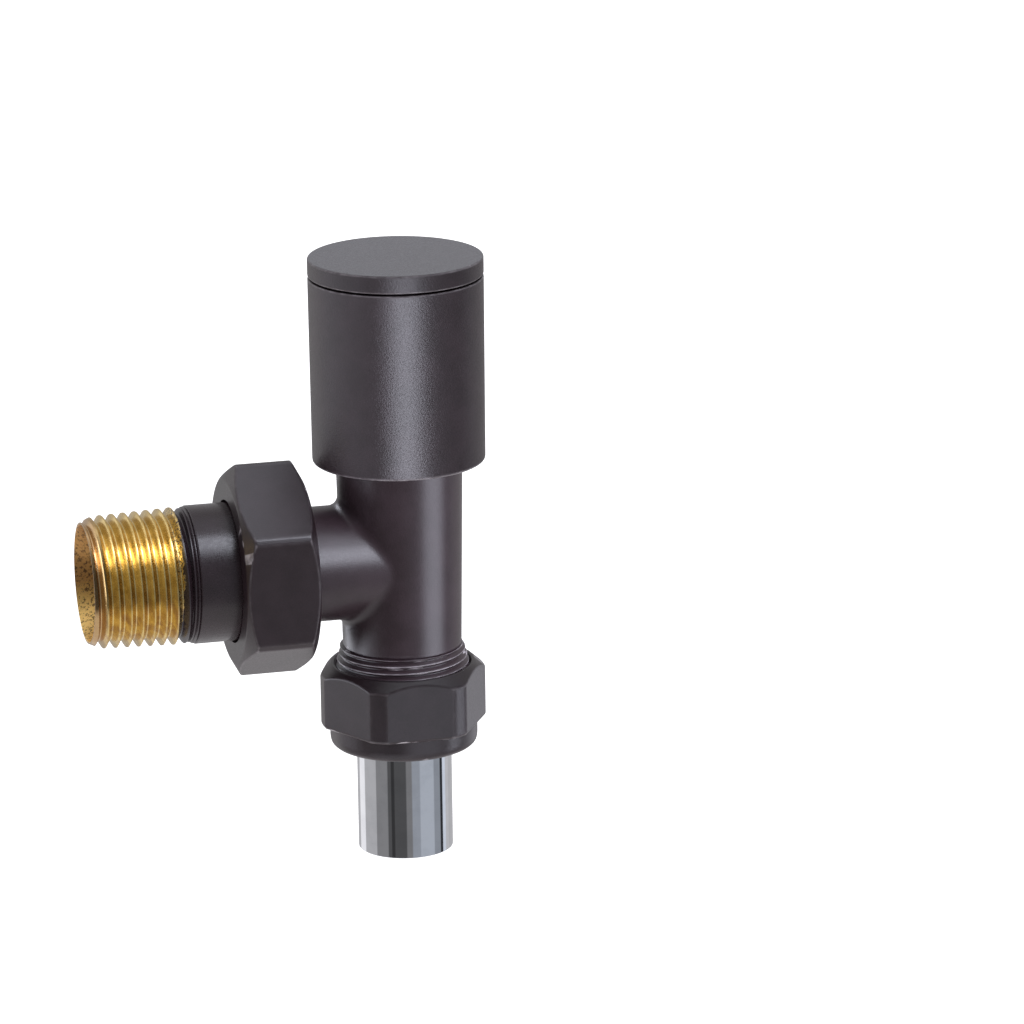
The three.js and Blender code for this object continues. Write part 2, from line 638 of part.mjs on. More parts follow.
function compressionNut() {
  const envelope = turned([
    [0, COMP_HEX_LOW_Z], [COMP_CORNER_R - 0.3, COMP_HEX_LOW_Z],
    [COMP_CORNER_R, COMP_HEX_LOW_Z + 0.3], [COMP_CORNER_R, COMP_TOP_Z - COMP_CROWN],
    [COMP_FACE_R, COMP_TOP_Z], [0, COMP_TOP_Z],
  ]);
  const collar = turned([
    [0, COMP_LOW_Z], [COMP_COLLAR_R - 0.7, COMP_LOW_Z], [COMP_COLLAR_R - 0.2, COMP_LOW_Z + 0.4],
    [COMP_COLLAR_R, COMP_LOW_Z + 1.2], [COMP_COLLAR_R, COMP_HEX_LOW_Z + 0.1],
    [0, COMP_HEX_LOW_Z + 0.1],
  ]);
  const threadR = COMPRESSION_THREAD_R + 0.12;
  const bore = turned([
    [0, COMP_LOW_Z - 1], [PIPE_HOLE_R, COMP_LOW_Z - 1], [PIPE_HOLE_R, OLIVE_SEAT_LOW_Z],
    [OLIVE_SEAT_R, OLIVE_SEAT_Z], [threadR, OLIVE_SEAT_Z], [threadR, COMP_TOP_Z - 0.4],
    [threadR + 0.33, COMP_TOP_Z], [threadR + 0.33, COMP_TOP_Z + 1], [0, COMP_TOP_Z + 1],
  ]);
  const hexagon = prism(sharpHex(COMP_AF), COMP_HEX_LOW_Z, COMP_TOP_Z);
  return hexagon.intersect(envelope).add(collar).subtract(bore);
}

// ------------------------------------------------------------- assembly

const FINISHES = {
  black: { color: 0x2b2a2d, roughness: 0.55, metalness: 0.3 },
  brass: { color: 0xb58b3c, roughness: 0.35, metalness: 1.0 },
  chrome: { color: 0xc9ccd1, roughness: 0.08, metalness: 1.0 },
  steel: { color: 0x8f9296, roughness: 0.35, metalness: 1.0 },
  rubber: { color: 0x141414, roughness: 0.85, metalness: 0.0 },
  packing: { color: 0xd9d6cc, roughness: 0.6, metalness: 0.0 },
};

// Pieces on the tail's axis, then pieces on the spindle's axis.
const TAIL_PIECES = [
  ['radiator_tail', radiatorTail(), 'brass'],
  ['union_seal_ring', unionSealRing(), 'rubber'],
  ['union_nut', unionNut(), 'black'],
];

const SPINDLE_PIECES = [
  ['valve_body', valveBody(), 'black'],
  ['bonnet', bonnet(), 'brass'],
  ['bonnet_o_ring', bonnetORing(), 'rubber'],
  ['gland_packing', glandPacking(), 'packing'],
  ['gland_nut', glandNut(), 'brass'],
  ['spindle', spindle(), 'brass'],
  ['spindle_o_ring_lower', spindleORing(O_RING_LOWER_Z), 'rubber'],
  ['spindle_o_ring_upper', spindleORing(O_RING_UPPER_Z), 'rubber'],
  ['spindle_circlip', circlip(), 'steel'],
  ['jumper', jumper(), 'brass'],
  ['jumper_clip', jumperClip(), 'steel'],
  ['seat_washer', seatWasher(), 'rubber'],
  ['washer_nut', washerNut(), 'brass'],
  ['handwheel_shell', handwheelShell(), 'black'],
  ['handwheel_insert', handwheelInsert(), 'brass'],
  ['screw_washer', screwWasher(), 'steel'],
  ['handwheel_screw', handwheelScrew(), 'steel'],
  ['handwheel_cap', handwheelCap(), 'black'],
  ['cap_ring', capRing(), 'rubber'],
  ['supply_pipe', supplyPipe(), 'chrome'],
  ['compression_olive', compressionOlive(), 'brass'],
  ['compression_nut', compressionNut(), 'black'],
];

function meshOf(name, solid, finish) {
  const { vertProperties, triVerts } = solid.getMesh();
  const geometry = new THREE.BufferGeometry();
  geometry.setAttribute('position', new THREE.BufferAttribute(new Float32Array(vertProperties), 3));
  geometry.setIndex(new THREE.BufferAttribute(new Uint32Array(triVerts), 1));
  geometry.computeVertexNormals();
  const mesh = new THREE.Mesh(geometry, new THREE.MeshStandardMaterial(FINISHES[finish]));
  mesh.name = name;
  return mesh;
}

function groupOf(pieces) {
  const group = new THREE.Group();
  for (const [name, solid, finish] of pieces) {
    group.add(meshOf(name, solid, finish));
  }
  return group;
}

// These pieces are built along their own Z, which is laid along +X.
const onTailAxis = groupOf(TAIL_PIECES);
onTailAxis.rotation.y = Math.PI / 2;

const onSpindleAxis = groupOf(SPINDLE_PIECES);
onSpindleAxis.position.x = AXIS_X;

const valve = new THREE.Group();
valve.name = 'angled_radiator_valve';
valve.add(onTailAxis, onSpindleAxis);

export default valve;
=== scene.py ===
# Looks for the angled manual radiator valve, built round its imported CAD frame.
# Sizes are millimetres until they reach a mesh, which is in metres.

import math

import bmesh
import bpy
import numpy as np
from mathutils import Matrix, Vector


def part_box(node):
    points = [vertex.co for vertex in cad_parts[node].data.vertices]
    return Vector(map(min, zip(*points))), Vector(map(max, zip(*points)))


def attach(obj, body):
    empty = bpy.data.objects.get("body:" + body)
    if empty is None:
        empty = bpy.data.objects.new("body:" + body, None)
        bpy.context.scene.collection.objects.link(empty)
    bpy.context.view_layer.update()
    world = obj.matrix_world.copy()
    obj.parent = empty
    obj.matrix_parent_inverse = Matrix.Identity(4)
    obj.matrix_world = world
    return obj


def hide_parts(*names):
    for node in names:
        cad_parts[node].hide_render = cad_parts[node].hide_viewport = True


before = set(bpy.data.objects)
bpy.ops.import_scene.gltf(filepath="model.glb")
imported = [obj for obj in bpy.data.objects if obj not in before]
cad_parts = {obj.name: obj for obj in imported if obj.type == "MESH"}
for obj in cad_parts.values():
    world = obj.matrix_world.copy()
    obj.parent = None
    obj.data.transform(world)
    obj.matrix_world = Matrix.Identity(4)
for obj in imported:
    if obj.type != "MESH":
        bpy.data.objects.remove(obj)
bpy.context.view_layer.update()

MM = 0.001
TURN = 2 * math.pi
PIPE_PITCH = 25.4 / 14  # G1/2 and G3/4 threads, 14 to the inch
FINE_PITCH = 25.4 / 24  # compression thread, 24 to the inch
SPINDLE_PITCH = 1.5
DEPTH_SHARE = 0.64  # thread depth as a share of its pitch


# ---- places, from the frame

def ends(node, axis=2):
    """Where a CAD node starts and ends along an axis, in millimetres: 0 for X, 2 for Z."""
    low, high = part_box(node)
    return low[axis] / MM, high[axis] / MM


def radius(node):
    """Greatest radius of a round node about its axis, from its Y extent."""
    return ends(node, 1)[1]


AXIS_X = sum(ends("supply_pipe", 0)) / 2
NUT_X0, NUT_X1 = ends("union_nut", 0)
TAIL_END_X = ends("radiator_tail", 0)[1]
OUTLET_END_X = ends("valve_body", 0)[0] - AXIS_X
BODY_LOW_Z, BODY_TOP_Z = ends("valve_body")
COMP_LOW_Z, COMP_TOP_Z = ends("compression_nut")
PIPE_LOW_Z, PIPE_TOP_Z = ends("supply_pipe")
PIPE_R = radius("supply_pipe")
WHEEL_LOW_Z, WHEEL_RIM_Z = ends("handwheel_shell")
WHEEL_TOP_R = radius("handwheel_shell")
WHEEL_TOP_Z = ends("handwheel_cap")[1]

# Sizes that a node's box doesn't give. An R is a radius, an X or a Z is a place, and AF is
# across flats. The outlet's X places are counted from the spindle's axis.
TAPER = 1 / 32  # radius gained per mm of taper thread
TAIL_MOUTH_R = 9.12
TAIL_RIM_R = 9.45
TAIL_FLARE_R = 7.9  # the bore from its mouth to the key's hexagon
TAIL_FLARE_X = 4.6
TAIL_BORE_R = 7.5
TAIL_KEY_AF = 13
TAIL_KEY_X = (8.0, 20.4)
SEAL_GROOVE_R = (8.5, 10.5)
SEAL_GROOVE_DEPTH = 1.4
TAIL_CREST_R = 10.36
TAIL_CREST_X = 3.22
TAIL_HELIX_X = TAIL_CREST_X - PIPE_PITCH / 4
COLLAR_R = 10.81
COLLAR_X = 15.65
FLANGE_R = 11.85
FLANGE_X = 25.4
UNION_HEX = (30, 17.05)  # across flats, radius of the turned-down corners
UNION_FACE_R = 14.4
UNION_CONE = 1.4 / 2.6  # fall of the turned corner along the axis, per mm of radius
UNION_LIP_R = 11.15
UNION_LIP = 2.6
UNION_THREAD_R = 13.22
THREAD_GAP = 0.12  # air between a thread and its nut's
TUBE_TOP_R = 9.9
TUBE_LOW_R = 9.35
OUTLET_R = 9.02
OUTLET_BORE_R = 7.0
SPIGOT_ROOT_R = 12.2
SPIGOT_BACK_X = -16.6
FILLET_R = 1.5
FILLET_EXTRA_R = 2.3
SHOULDER_Z = -13.95  # where the fine thread starts
FINE_CREST_Z = SHOULDER_Z - 0.75 * FINE_PITCH
FINE_DEPTH = 0.56
FINE_THREAD_R = 10.48
CHAMBER_R = 7.6
SEAT_R = 5.2
SEAT_RIM_R = 6.4
SEAT_Z = -6.2
SEAT_BACK_Z = -9.8
CHAMBER_FLOOR_Z = -6.8
MOUTH_R = 8.9
MOUTH_DEPTH = 2.8
PIPE_STOP_Z = -12.6
SOCKET_R = 7.62
BONNET_THREAD_R = 8.4
BONNET_THREAD_Z = 12.4
BONNET_RING_R = 9.3
BONNET_HEX = (17, 9.5)
GLAND_HEX = (12, 6.7)
GLAND_PACKING_Z = 31
COMP_HEX = (24, 13.12)
COMP_FACE_R = 11.3
COMP_CONE = 2.0 / 2.25
COMP_COLLAR_R = 11.65
COMP_HEX_LOW_Z = -26.8
PIPE_BORE_R = 6.8
PIPE_HOLE_R = 7.72
OLIVE_R = 8.6
OLIVE_Z = -25.1
OLIVE_HALF_WIDTH = 2.5
OLIVE_SEAT_R = 9.35
OLIVE_SEAT_Z = (-25.4, -28.2)
SPINDLE_R = 4.0
SPINDLE_HOLE_R = 4.15
SPINDLE_THREAD_R = 5.0
SPLINE_COUNT = 20
SPLINE_DEPTH = 0.2
STEM_R = 1.8
WASHER_NUT_HEX = (7, 3.9)
SCREW_KEY_AF = 2.5
WHEEL_LOW_R = 13.52
WHEEL_BORE_R = 12.0
WEB_Z = (38.4, 42.0)
HUB_R = 6.1
CAP_SKIRT_R = 11.55
CAP_GROOVE_R = 10.5
CAP_GROOVE_Z = (43.5, 44.9)


# ---- meshes

def rounded(outline, steps=4):
    """A closed outline whose (r, h, fillet) corners are eased into arcs.

    A point just before and just after each arc keeps the flats beside it flat in shading.
    """
    most = 0.42          # share of a side that an arc may take
    beyond = 1.12        # where the extra points are, as a share of the arc's reach
    points = []
    count = len(outline)
    for i, corner in enumerate(outline):
        here = np.array(corner[:2], float)
        fillet = corner[2] if len(corner) > 2 else 0.0
        if fillet <= 0:
            points.append(here)
            continue
        to_before = np.array(outline[i - 1][:2], float) - here
        to_after = np.array(outline[(i + 1) % count][:2], float) - here
        span_before = np.linalg.norm(to_before)
        span_after = np.linalg.norm(to_after)
        start = to_before / span_before * min(fillet, most * span_before)
        end = to_after / span_after * min(fillet, most * span_after)
        points.append(here + start * beyond)
        for j in range(steps + 1):
            t = j / steps
            points.append(here + (1 - t) ** 2 * start + t * t * end)
        points.append(here + end * beyond)
    return np.array(points)


def about_z(r, angle, height):
    """Points round the spindle's axis."""
    return np.stack([AXIS_X + r * np.cos(angle), r * np.sin(angle), height + 0 * angle], -1)


def about_x(r, angle, along):
    """Points round the tail's axis. The angle runs from +Y towards +Z."""
    return np.stack([along + 0 * angle, r * np.cos(angle), r * np.sin(angle)], -1)


def mesh_from_rows(rows, close_rows=True, cap_ends=False, close_columns=True):
    """A mesh from rows of points. The rows may close, and each row may close on itself."""
    rows = np.asarray(rows, float)
    row_count, column_count = rows.shape[:2]
    faces = []
    for i in range(row_count if close_rows else row_count - 1):
        a = i * column_count
        b = ((i + 1) % row_count) * column_count
        for j in range(column_count if close_columns else column_count - 1):
            k = (j + 1) % column_count
            faces.append((a + j, a + k, b + k, b + j))
    if cap_ends:
        last = (row_count - 1) * column_count
        faces.append(tuple(range(column_count)))
        faces.append(tuple(last + j for j in range(column_count)))
    return mesh_from(rows.reshape(-1, 3), faces)


def mesh_from(points, faces):
    """A closed mesh from points in millimetres, with doubled points merged."""
    mesh = bpy.data.meshes.new("rows")
    mesh.from_pydata((np.asarray(points) * MM).tolist(), [], faces)
    return tidied(mesh)


def tidied(mesh):
    """Merges doubled points, drops empty faces and faces the mesh outwards."""
    weld, shortest = 3e-7, 1e-7
    work = bmesh.new()
    work.from_mesh(mesh)
    bmesh.ops.remove_doubles(work, verts=work.verts, dist=weld)
    bmesh.ops.dissolve_degenerate(work, edges=work.edges, dist=shortest)
    bmesh.ops.recalc_face_normals(work, faces=work.faces)
    if work.calc_volume(signed=True) < 0:
        bmesh.ops.reverse_faces(work, faces=work.faces)
    work.to_mesh(mesh)
    work.free()
    return mesh


def around(profile, axis="z", segments=96, angles=None, helical=False):
    """A mesh whose section at each angle is profile(angle), a closed outline of corners.

    profile may be one outline, for a plain turned piece. The angles may be given instead of
    their number. On a helical piece the sections follow the thread, so the last one repeats
    the first with its points moved on by one pitch, and the two are welded.
    """
    if angles is None:
        angles = np.linspace(0, TURN, segments + helical, endpoint=helical)
    if callable(profile):
        sections = np.array([rounded(profile(angle)) for angle in angles])
    else:
        sections = np.repeat(rounded(profile)[None], len(angles), axis=0)
    place = about_z if axis == "z" else about_x
    rows = [place(sections[:, i, 0], angles, sections[:, i, 1]) for i in range(sections.shape[1])]
    return mesh_from_rows(rows, close_columns=not helical)


def helix_places(start, end, angle, crest_at, pitch, per_pitch=20):
    """Places between start and end that keep their height on a thread as the angle grows."""
    step = pitch / per_pitch
    first = math.floor((start - crest_at) / step) - per_pitch
    last = math.ceil((end - crest_at) / step)
    shift = crest_at + pitch * angle / TURN
    return [min(max(shift + k * step, start), end) for k in range(first, last + 1)]


def off_corner(angle):
    """Angle to the nearest of six corners, one of them at angle 0."""
    return abs((angle + TURN / 12) % (TURN / 6) - TURN / 12)


def turned_hex_radius(angle, across_flats, corner_radius):
    """Radius of a hexagon whose corners are turned down, one of them at angle 0."""
    return min(across_flats / 2 / math.cos(TURN / 12 - off_corner(angle)), corner_radius)


def turned_hex_angles(across_flats, corner_radius, first_corner):
    """Angles that suit such a hexagon, with a narrow step over each edge of a corner."""
    half = TURN / 12 - math.acos(across_flats / 2 / corner_radius)
    ease = math.radians(0.4)
    on_corner, on_flat = 5, 33
    angles = []
    for corner in range(6):
        middle = first_corner + corner * TURN / 6
        angles += list(middle + np.linspace(ease - half, half - ease, on_corner))
        angles += list(middle + np.linspace(half + ease, TURN / 6 - half - ease, on_flat))
    return np.array(angles)


def hex_radius(angle, across_flats, corner_radius=None):
    """Radius of a hexagon with a corner at angle 0, rounded where corner_radius is given."""
    off = off_corner(angle)
    flat = across_flats / 2 / math.cos(TURN / 12 - off)
    if corner_radius is None:
        return flat
    rounding = (across_flats / math.sqrt(3) - corner_radius) / (2 / math.sqrt(3) - 1)
    centre = corner_radius - rounding
    if off > math.atan2(rounding / 2, centre + rounding * math.cos(TURN / 12)):
        return flat
    side = centre * math.sin(off)
    return centre * math.cos(off) + math.sqrt(max(rounding ** 2 - side ** 2, 0))


def ridge(along, angle, crest_at, pitch):
    """Height of a right-hand thread, from 0 at its root to 1 at its crest."""
    root, flank, easing = 0.05, 0.40, 0.2
    phase = (along - crest_at) / pitch - angle / TURN
    off_crest = abs((phase + 0.5) % 1.0 - 0.5)
    rise = min(max((0.5 - off_crest - root) / flank, 0), 1)
    return (1 - easing) * rise + easing * ramp(rise, 0, 1)


def span(start, end, step):
    """Evenly spaced places from start to end, no more than step apart."""
    count = max(2, int(math.ceil(abs(end - start) / step)) + 1)
    return [start + (end - start) * i / (count - 1) for i in range(count)]


def ramp(value, start, end):
    """0 before start, 1 after end, smooth between."""
    t = min(max((value - start) / (end - start), 0), 1)
    return t * t * (3 - 2 * t)


def mix(first, second, share):
    """first where share is 0, second where it is 1."""
    return first + (second - first) * share


def faded(value, start, end, fade_in, fade_out):
    """1 inside start..end, easing to 0 at each of them."""
    return ramp(value, start, start + fade_in) * (1 - ramp(value, end - fade_out, end))


def add_object(name, data):
    made = bpy.data.objects.new(name, data)
    bpy.context.scene.collection.objects.link(made)
    return made


def cut_from(mesh, *tools):
    """Cuts closed meshes out of another closed mesh."""
    base = add_object("base", mesh)
    cutters = [add_object("cutter", tool) for tool in tools]
    for cutter in cutters:
        step = base.modifiers.new("cut", "BOOLEAN")
        step.operation = "DIFFERENCE"
        step.solver = "EXACT"
        step.object = cutter
    graph = bpy.context.evaluated_depsgraph_get()
    result = bpy.data.meshes.new_from_object(base.evaluated_get(graph))
    for piece in [base] + cutters:
        bpy.data.objects.remove(piece)
    return tidied(result)


def add_piece(node, body, mesh, finish):
    """Shades a mesh, gives it its finish and shows it in place of its CAD node."""
    sharp = math.radians(34)
    work = bmesh.new()
    work.from_mesh(mesh)
    for face in work.faces:
        face.smooth = True
    for edge in work.edges:
        if len(edge.link_faces) == 2 and edge.calc_face_angle(0) > sharp:
            edge.smooth = False
    work.to_mesh(mesh)
    work.free()
    material, slot = FINISHES[finish]
    mesh.materials.clear()
    mesh.materials.append(material)
    piece = add_object(node + "_piece", mesh)
    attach(piece, body)
    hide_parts(node)
    return piece


# ---- materials

class Nodes:
    """A small helper for building a node tree."""

    def __init__(self, tree):
        self.tree = tree

    def node(self, kind, inputs=None, **settings):
        """A new node. inputs holds the values of its sockets, by name or number."""
        made = self.tree.nodes.new(kind)
        for key, value in settings.items():
            setattr(made, key, value)
        for key, value in (inputs or {}).items():
            self.fill(made.inputs[key], value)
        return made

    def fill(self, socket, value):
        """Puts a number, a list or a colour on a socket, or links another socket to it."""
        if isinstance(value, (int, float, list)):
            socket.default_value = value
        elif isinstance(value, tuple):
            socket.default_value = (*value, 1.0)
        else:
            self.tree.links.new(value, socket)

    def math(self, operation, a, b=0.0):
        return self.node("ShaderNodeMath", {0: a, 1: b}, operation=operation).outputs[0]

    def times(self, a, b):
        return self.math("MULTIPLY", a, b)

    def plus(self, a, b):
        return self.math("ADD", a, b)

    def rest(self, share):
        """What is left of 1."""
        return self.math("SUBTRACT", 1.0, share)

    def parts(self, vector):
        """X, Y and Z of a vector socket."""
        return self.node("ShaderNodeSeparateXYZ", {0: vector}).outputs

    def levels(self, value, low, high, out_low=0.0, out_high=1.0):
        """Maps low..high onto out_low..out_high, smoothly, and holds the ends."""
        inputs = {
            "Value": value, "From Min": low, "From Max": high, "To Min": out_low,
            "To Max": out_high,
        }
        made = self.node("ShaderNodeMapRange", inputs, interpolation_type="SMOOTHSTEP")
        return made.outputs["Result"]

    def blend(self, share, first, second):
        """first where share is 0, second where it is 1. Each is a colour or a socket."""
        inputs = {0: share, 6: first, 7: second}
        return self.node("ShaderNodeMix", inputs, data_type="RGBA").outputs[2]


class Shader(Nodes):
    """One material, built round its Principled BSDF."""

    def __init__(self, name):
        self.material = bpy.data.materials.new(name)
        self.material.use_nodes = True
        super().__init__(self.material.node_tree)
        self.surface = self.tree.nodes["Principled BSDF"]
        coordinates = self.node("ShaderNodeTexCoord").outputs
        self.place = coordinates["Object"]
        self.facing = coordinates["Normal"]

    def noise(self, size_mm, detail=3.0, roughness=0.55, stretch=(1, 1, 1)):
        """Noise whose features are about size_mm across. A stretch under 1 makes them longer."""
        scale = [1 / (size_mm * MM) * share for share in stretch]
        scaled = self.node("ShaderNodeMapping", {"Vector": self.place, "Scale": scale})
        inputs = {
            "Vector": scaled.outputs[0], "Scale": 1.0, "Detail": detail, "Roughness": roughness,
        }
        return self.node("ShaderNodeTexNoise", inputs).outputs["Fac"]

    def bump(self, height, depth_mm):
        inputs = {"Strength": 1.0, "Distance": depth_mm * MM, "Height": height}
        self.set(Normal=self.node("ShaderNodeBump", inputs).outputs["Normal"])

    def set(self, **values):
        """Fills the surface's sockets by name and returns the material."""
        for key, value in values.items():
            self.fill(self.surface.inputs[key.replace("_", " ")], value)
        return self.material


PAINT_DARK = (0.0160, 0.0092, 0.0112)
PAINT_LIGHT = (0.0222, 0.0132, 0.0164)
# Pale edge colour: a painted edge highlight, and wear.
PAINT_EDGE_SHEEN_AND_WEAR = (0.300, 0.272, 0.288)
PAINT_IOR = 1.5


def paint_colour(shader):
    """The colour of black powder paint, with faint mottling, and the speckle that is in it."""
    mottle = shader.times(shader.noise(4.0, detail=2), 0.6)
    speckle = shader.noise(0.22, detail=2)
    mixed = shader.plus(mottle, shader.times(speckle, 0.4))
    return shader.blend(shader.levels(mixed, 0.35, 0.65), PAINT_DARK, PAINT_LIGHT), speckle


def black_paint(name, gloss, grain):
    """Black paint. gloss is its middle roughness, and grain the depth of its texture in mm."""
    shader = Shader(name)
    colour, speckle = paint_colour(shader)
    # Paler along its edges, in patches: painted edge highlights, and wear. A flat top has false
    # edges, so it is left out.
    patchy = shader.levels(shader.noise(1.5), 0.35, 0.7, 0.4, 1.0)
    pointiness = shader.node("ShaderNodeNewGeometry").outputs["Pointiness"]
    edges = shader.levels(pointiness, 0.51, 0.56)
    flat_top = shader.levels(shader.parts(shader.facing)[2], 0.970, 0.990)
    edge_sheen_and_wear = shader.times(shader.times(edges, patchy), shader.rest(flat_top))
    colour = shader.blend(edge_sheen_and_wear, colour, PAINT_EDGE_SHEEN_AND_WEAR)
    shader.bump(speckle, grain)
    sheen = 0.03
    uneven = shader.noise(0.30, detail=2)
    roughness = shader.levels(uneven, 0.3, 0.7, gloss - sheen, gloss + sheen)
    return shader.set(Base_Color=colour, Roughness=roughness, IOR=PAINT_IOR)


def tail_brass():
    """Bare brass thread, painted black from its last turn on, with stray paint specks."""
    paint_x = (13.75, 13.95)        # where the paint starts, in mm along the tail
    specks_x = (12.6, 14.0)         # where its specks thicken
    skin_r = (8.0, 8.2)             # radii between the bore and the outside
    flare = 0.265                   # radius that the mouth loses per mm
    shader = Shader("part_painted_brass")
    times, plus, rest = shader.times, shader.plus, shader.rest
    levels, noise, blend = shader.levels, shader.noise, shader.blend
    x, y, z = (shader.math("DIVIDE", part, MM) for part in shader.parts(shader.place))
    across = shader.math("SQRT", plus(times(y, y), times(z, z)))
    outside = levels(across, *skin_r)

    # The paint's edge wanders, and lies a little further along at the top.
    wander = times(shader.math("SUBTRACT", noise(1.6, detail=4), 0.5), 0.9)
    edge = plus(shader.math("SUBTRACT", x, times(z, 0.035)), wander)
    painted = times(levels(edge, *paint_x), outside)
    specks = levels(noise(0.32, detail=2), 0.53, 0.57)
    near = levels(plus(edge, times(z, 0.05)), *specks_x)
    specks = times(specks, times(near, outside))
    stray = levels(noise(0.5, detail=2), 0.74, 0.77)
    black = shader.math("MAXIMUM", painted, shader.math("MAXIMUM", specks, stray))

    # Bright flanks with a brown stain in patches, and dark streaks on the lower side.
    stain = levels(noise(1.8, detail=5, roughness=0.6), 0.36, 0.72)
    metal = blend(stain, (0.80, 0.60, 0.25), (0.62, 0.44, 0.16))
    streaks = levels(noise(0.9, detail=4, stretch=(1, 1, 0.2)), 0.44, 0.60)
    lower = times(rest(levels(z, -5.0, 4.0)), 0.75)
    metal = blend(times(streaks, lower), metal, (0.50, 0.33, 0.17))

    # A dull coppery mouth and bore with dirt, and a painted pool of light that turns the bore gold
    # low down, where the light falls in.
    mouth = times(rest(levels(x, 0.9, 2.4)), 0.8)
    metal = blend(mouth, metal, (0.52, 0.33, 0.17))
    cone = plus(across, times(x, flare))
    in_mouth = rest(levels(cone, TAIL_MOUTH_R + 0.04, TAIL_MOUTH_R + 0.12))
    inside = shader.math("MAXIMUM", in_mouth, rest(outside))
    # Painted light: the bore's colour goes bright gold low down, where light falls in.
    painted_low_light = rest(levels(plus(z, wander), -5.5, -1.5))
    bore = blend(painted_low_light, (0.48, 0.25, 0.075), (1.0, 0.67, 0.21))
    metal = blend(times(inside, 0.9), metal, bore)
    dirt = levels(noise(0.45, detail=5, roughness=0.7), 0.52, 0.58)
    dirt = times(times(inside, dirt), 0.85)
    metal = blend(dirt, metal, (0.08, 0.045, 0.02))

    colour = blend(black, metal, paint_colour(shader)[0])
    roughness = levels(noise(0.7), 0.3, 0.7, 0.20, 0.28)
    roughness = plus(roughness, times(black, 0.03))
    roughness = plus(roughness, times(inside, 0.12))
    metallic = times(rest(black), rest(times(inside, 0.35)))
    shader.bump(noise(0.25, detail=2), 0.004)
    return shader.set(Base_Color=colour, Roughness=roughness, Metallic=metallic, IOR=PAINT_IOR)


def mottled(
        name, pattern, turn, colours, roughness, depth, metallic=0.0, uneven=None, grain=None):
    """A plain finish. pattern sets the noise that its colour, roughness and bump follow.

    turn and roughness are the levels of the first two, and depth is the bump's. Where the
    roughness or the bump has a noise of its own, that is uneven or grain.
    """
    shader = Shader(name)
    colour = shader.blend(shader.levels(shader.noise(**pattern), *turn), *colours)
    shader.bump(shader.noise(**(grain or pattern)), depth)
    rough = shader.levels(shader.noise(**(uneven or pattern)), *roughness)
    return shader.set(Base_Color=colour, Roughness=rough, Metallic=metallic)


# finish: (material, slot)
FINISHES = {
    "black": (black_paint("satin_black_paint", 0.34, 0.012), "black_paint"),
    "matte": (black_paint("matte_black_paint", 0.40, 0.042), "black_paint"),
    "tail": (tail_brass(), "brass"),
    "brass": (mottled(
        "machined_brass", {"size_mm": 2.5, "detail": 4}, (0.42, 0.68),
        ((0.80, 0.55, 0.17), (0.56, 0.36, 0.12)), (0.3, 0.7, 0.20, 0.34), 0.006, 1.0,
        uneven={"size_mm": 0.8}, grain={"size_mm": 0.1, "detail": 2},
    ), "brass"),
    "chrome": (mottled(
        "chrome_plate", {"size_mm": 3.0, "detail": 4}, (0.4, 0.7),
        ((0.80, 0.81, 0.84), (0.74, 0.75, 0.78)), (0.35, 0.7, 0.03, 0.06), 0.0015, 1.0,
        grain={"size_mm": 1.5, "stretch": (1, 1, 0.15)},
    ), "chrome"),
    "steel": (mottled(
        "satin_steel", {"size_mm": 0.5, "detail": 4, "stretch": (1, 1, 4)}, (0.35, 0.7),
        ((0.55, 0.56, 0.58), (0.42, 0.43, 0.45)), (0.3, 0.7, 0.24, 0.40), 0.006, 1.0,
    ), "steel"),
    "rubber": (mottled(
        "moulded_rubber", {"size_mm": 1.4, "detail": 4}, (0.4, 0.7),
        ((0.012, 0.012, 0.012), (0.030, 0.029, 0.028)), (0.35, 0.7, 0.55, 0.75), 0.01,
        grain={"size_mm": 0.2},
    ), "rubber"),
    "packing": (mottled(
        "waxy_packing", {"size_mm": 0.8}, (0.4, 0.7),
        ((0.80, 0.78, 0.73), (0.70, 0.67, 0.61)), (0.3, 0.7, 0.45, 0.60), 0.02,
    ), "packing"),
}


# ---- tail and union

def tail_thread_radius(along, angle):
    """The tail's taper thread, chamfered at its mouth and run out before its collar."""
    crest = TAIL_CREST_R + (along - TAIL_CREST_X) * TAPER
    depth = DEPTH_SHARE * PIPE_PITCH * (1 - ridge(along, angle, TAIL_HELIX_X, PIPE_PITCH))
    run_out = ramp(along, 14.4, 15.5)
    threaded = crest - depth * (1 - 0.5 * run_out) - 0.35 * run_out
    chamfer = TAIL_RIM_R + 0.47 * along
    return min(threaded, chamfer)


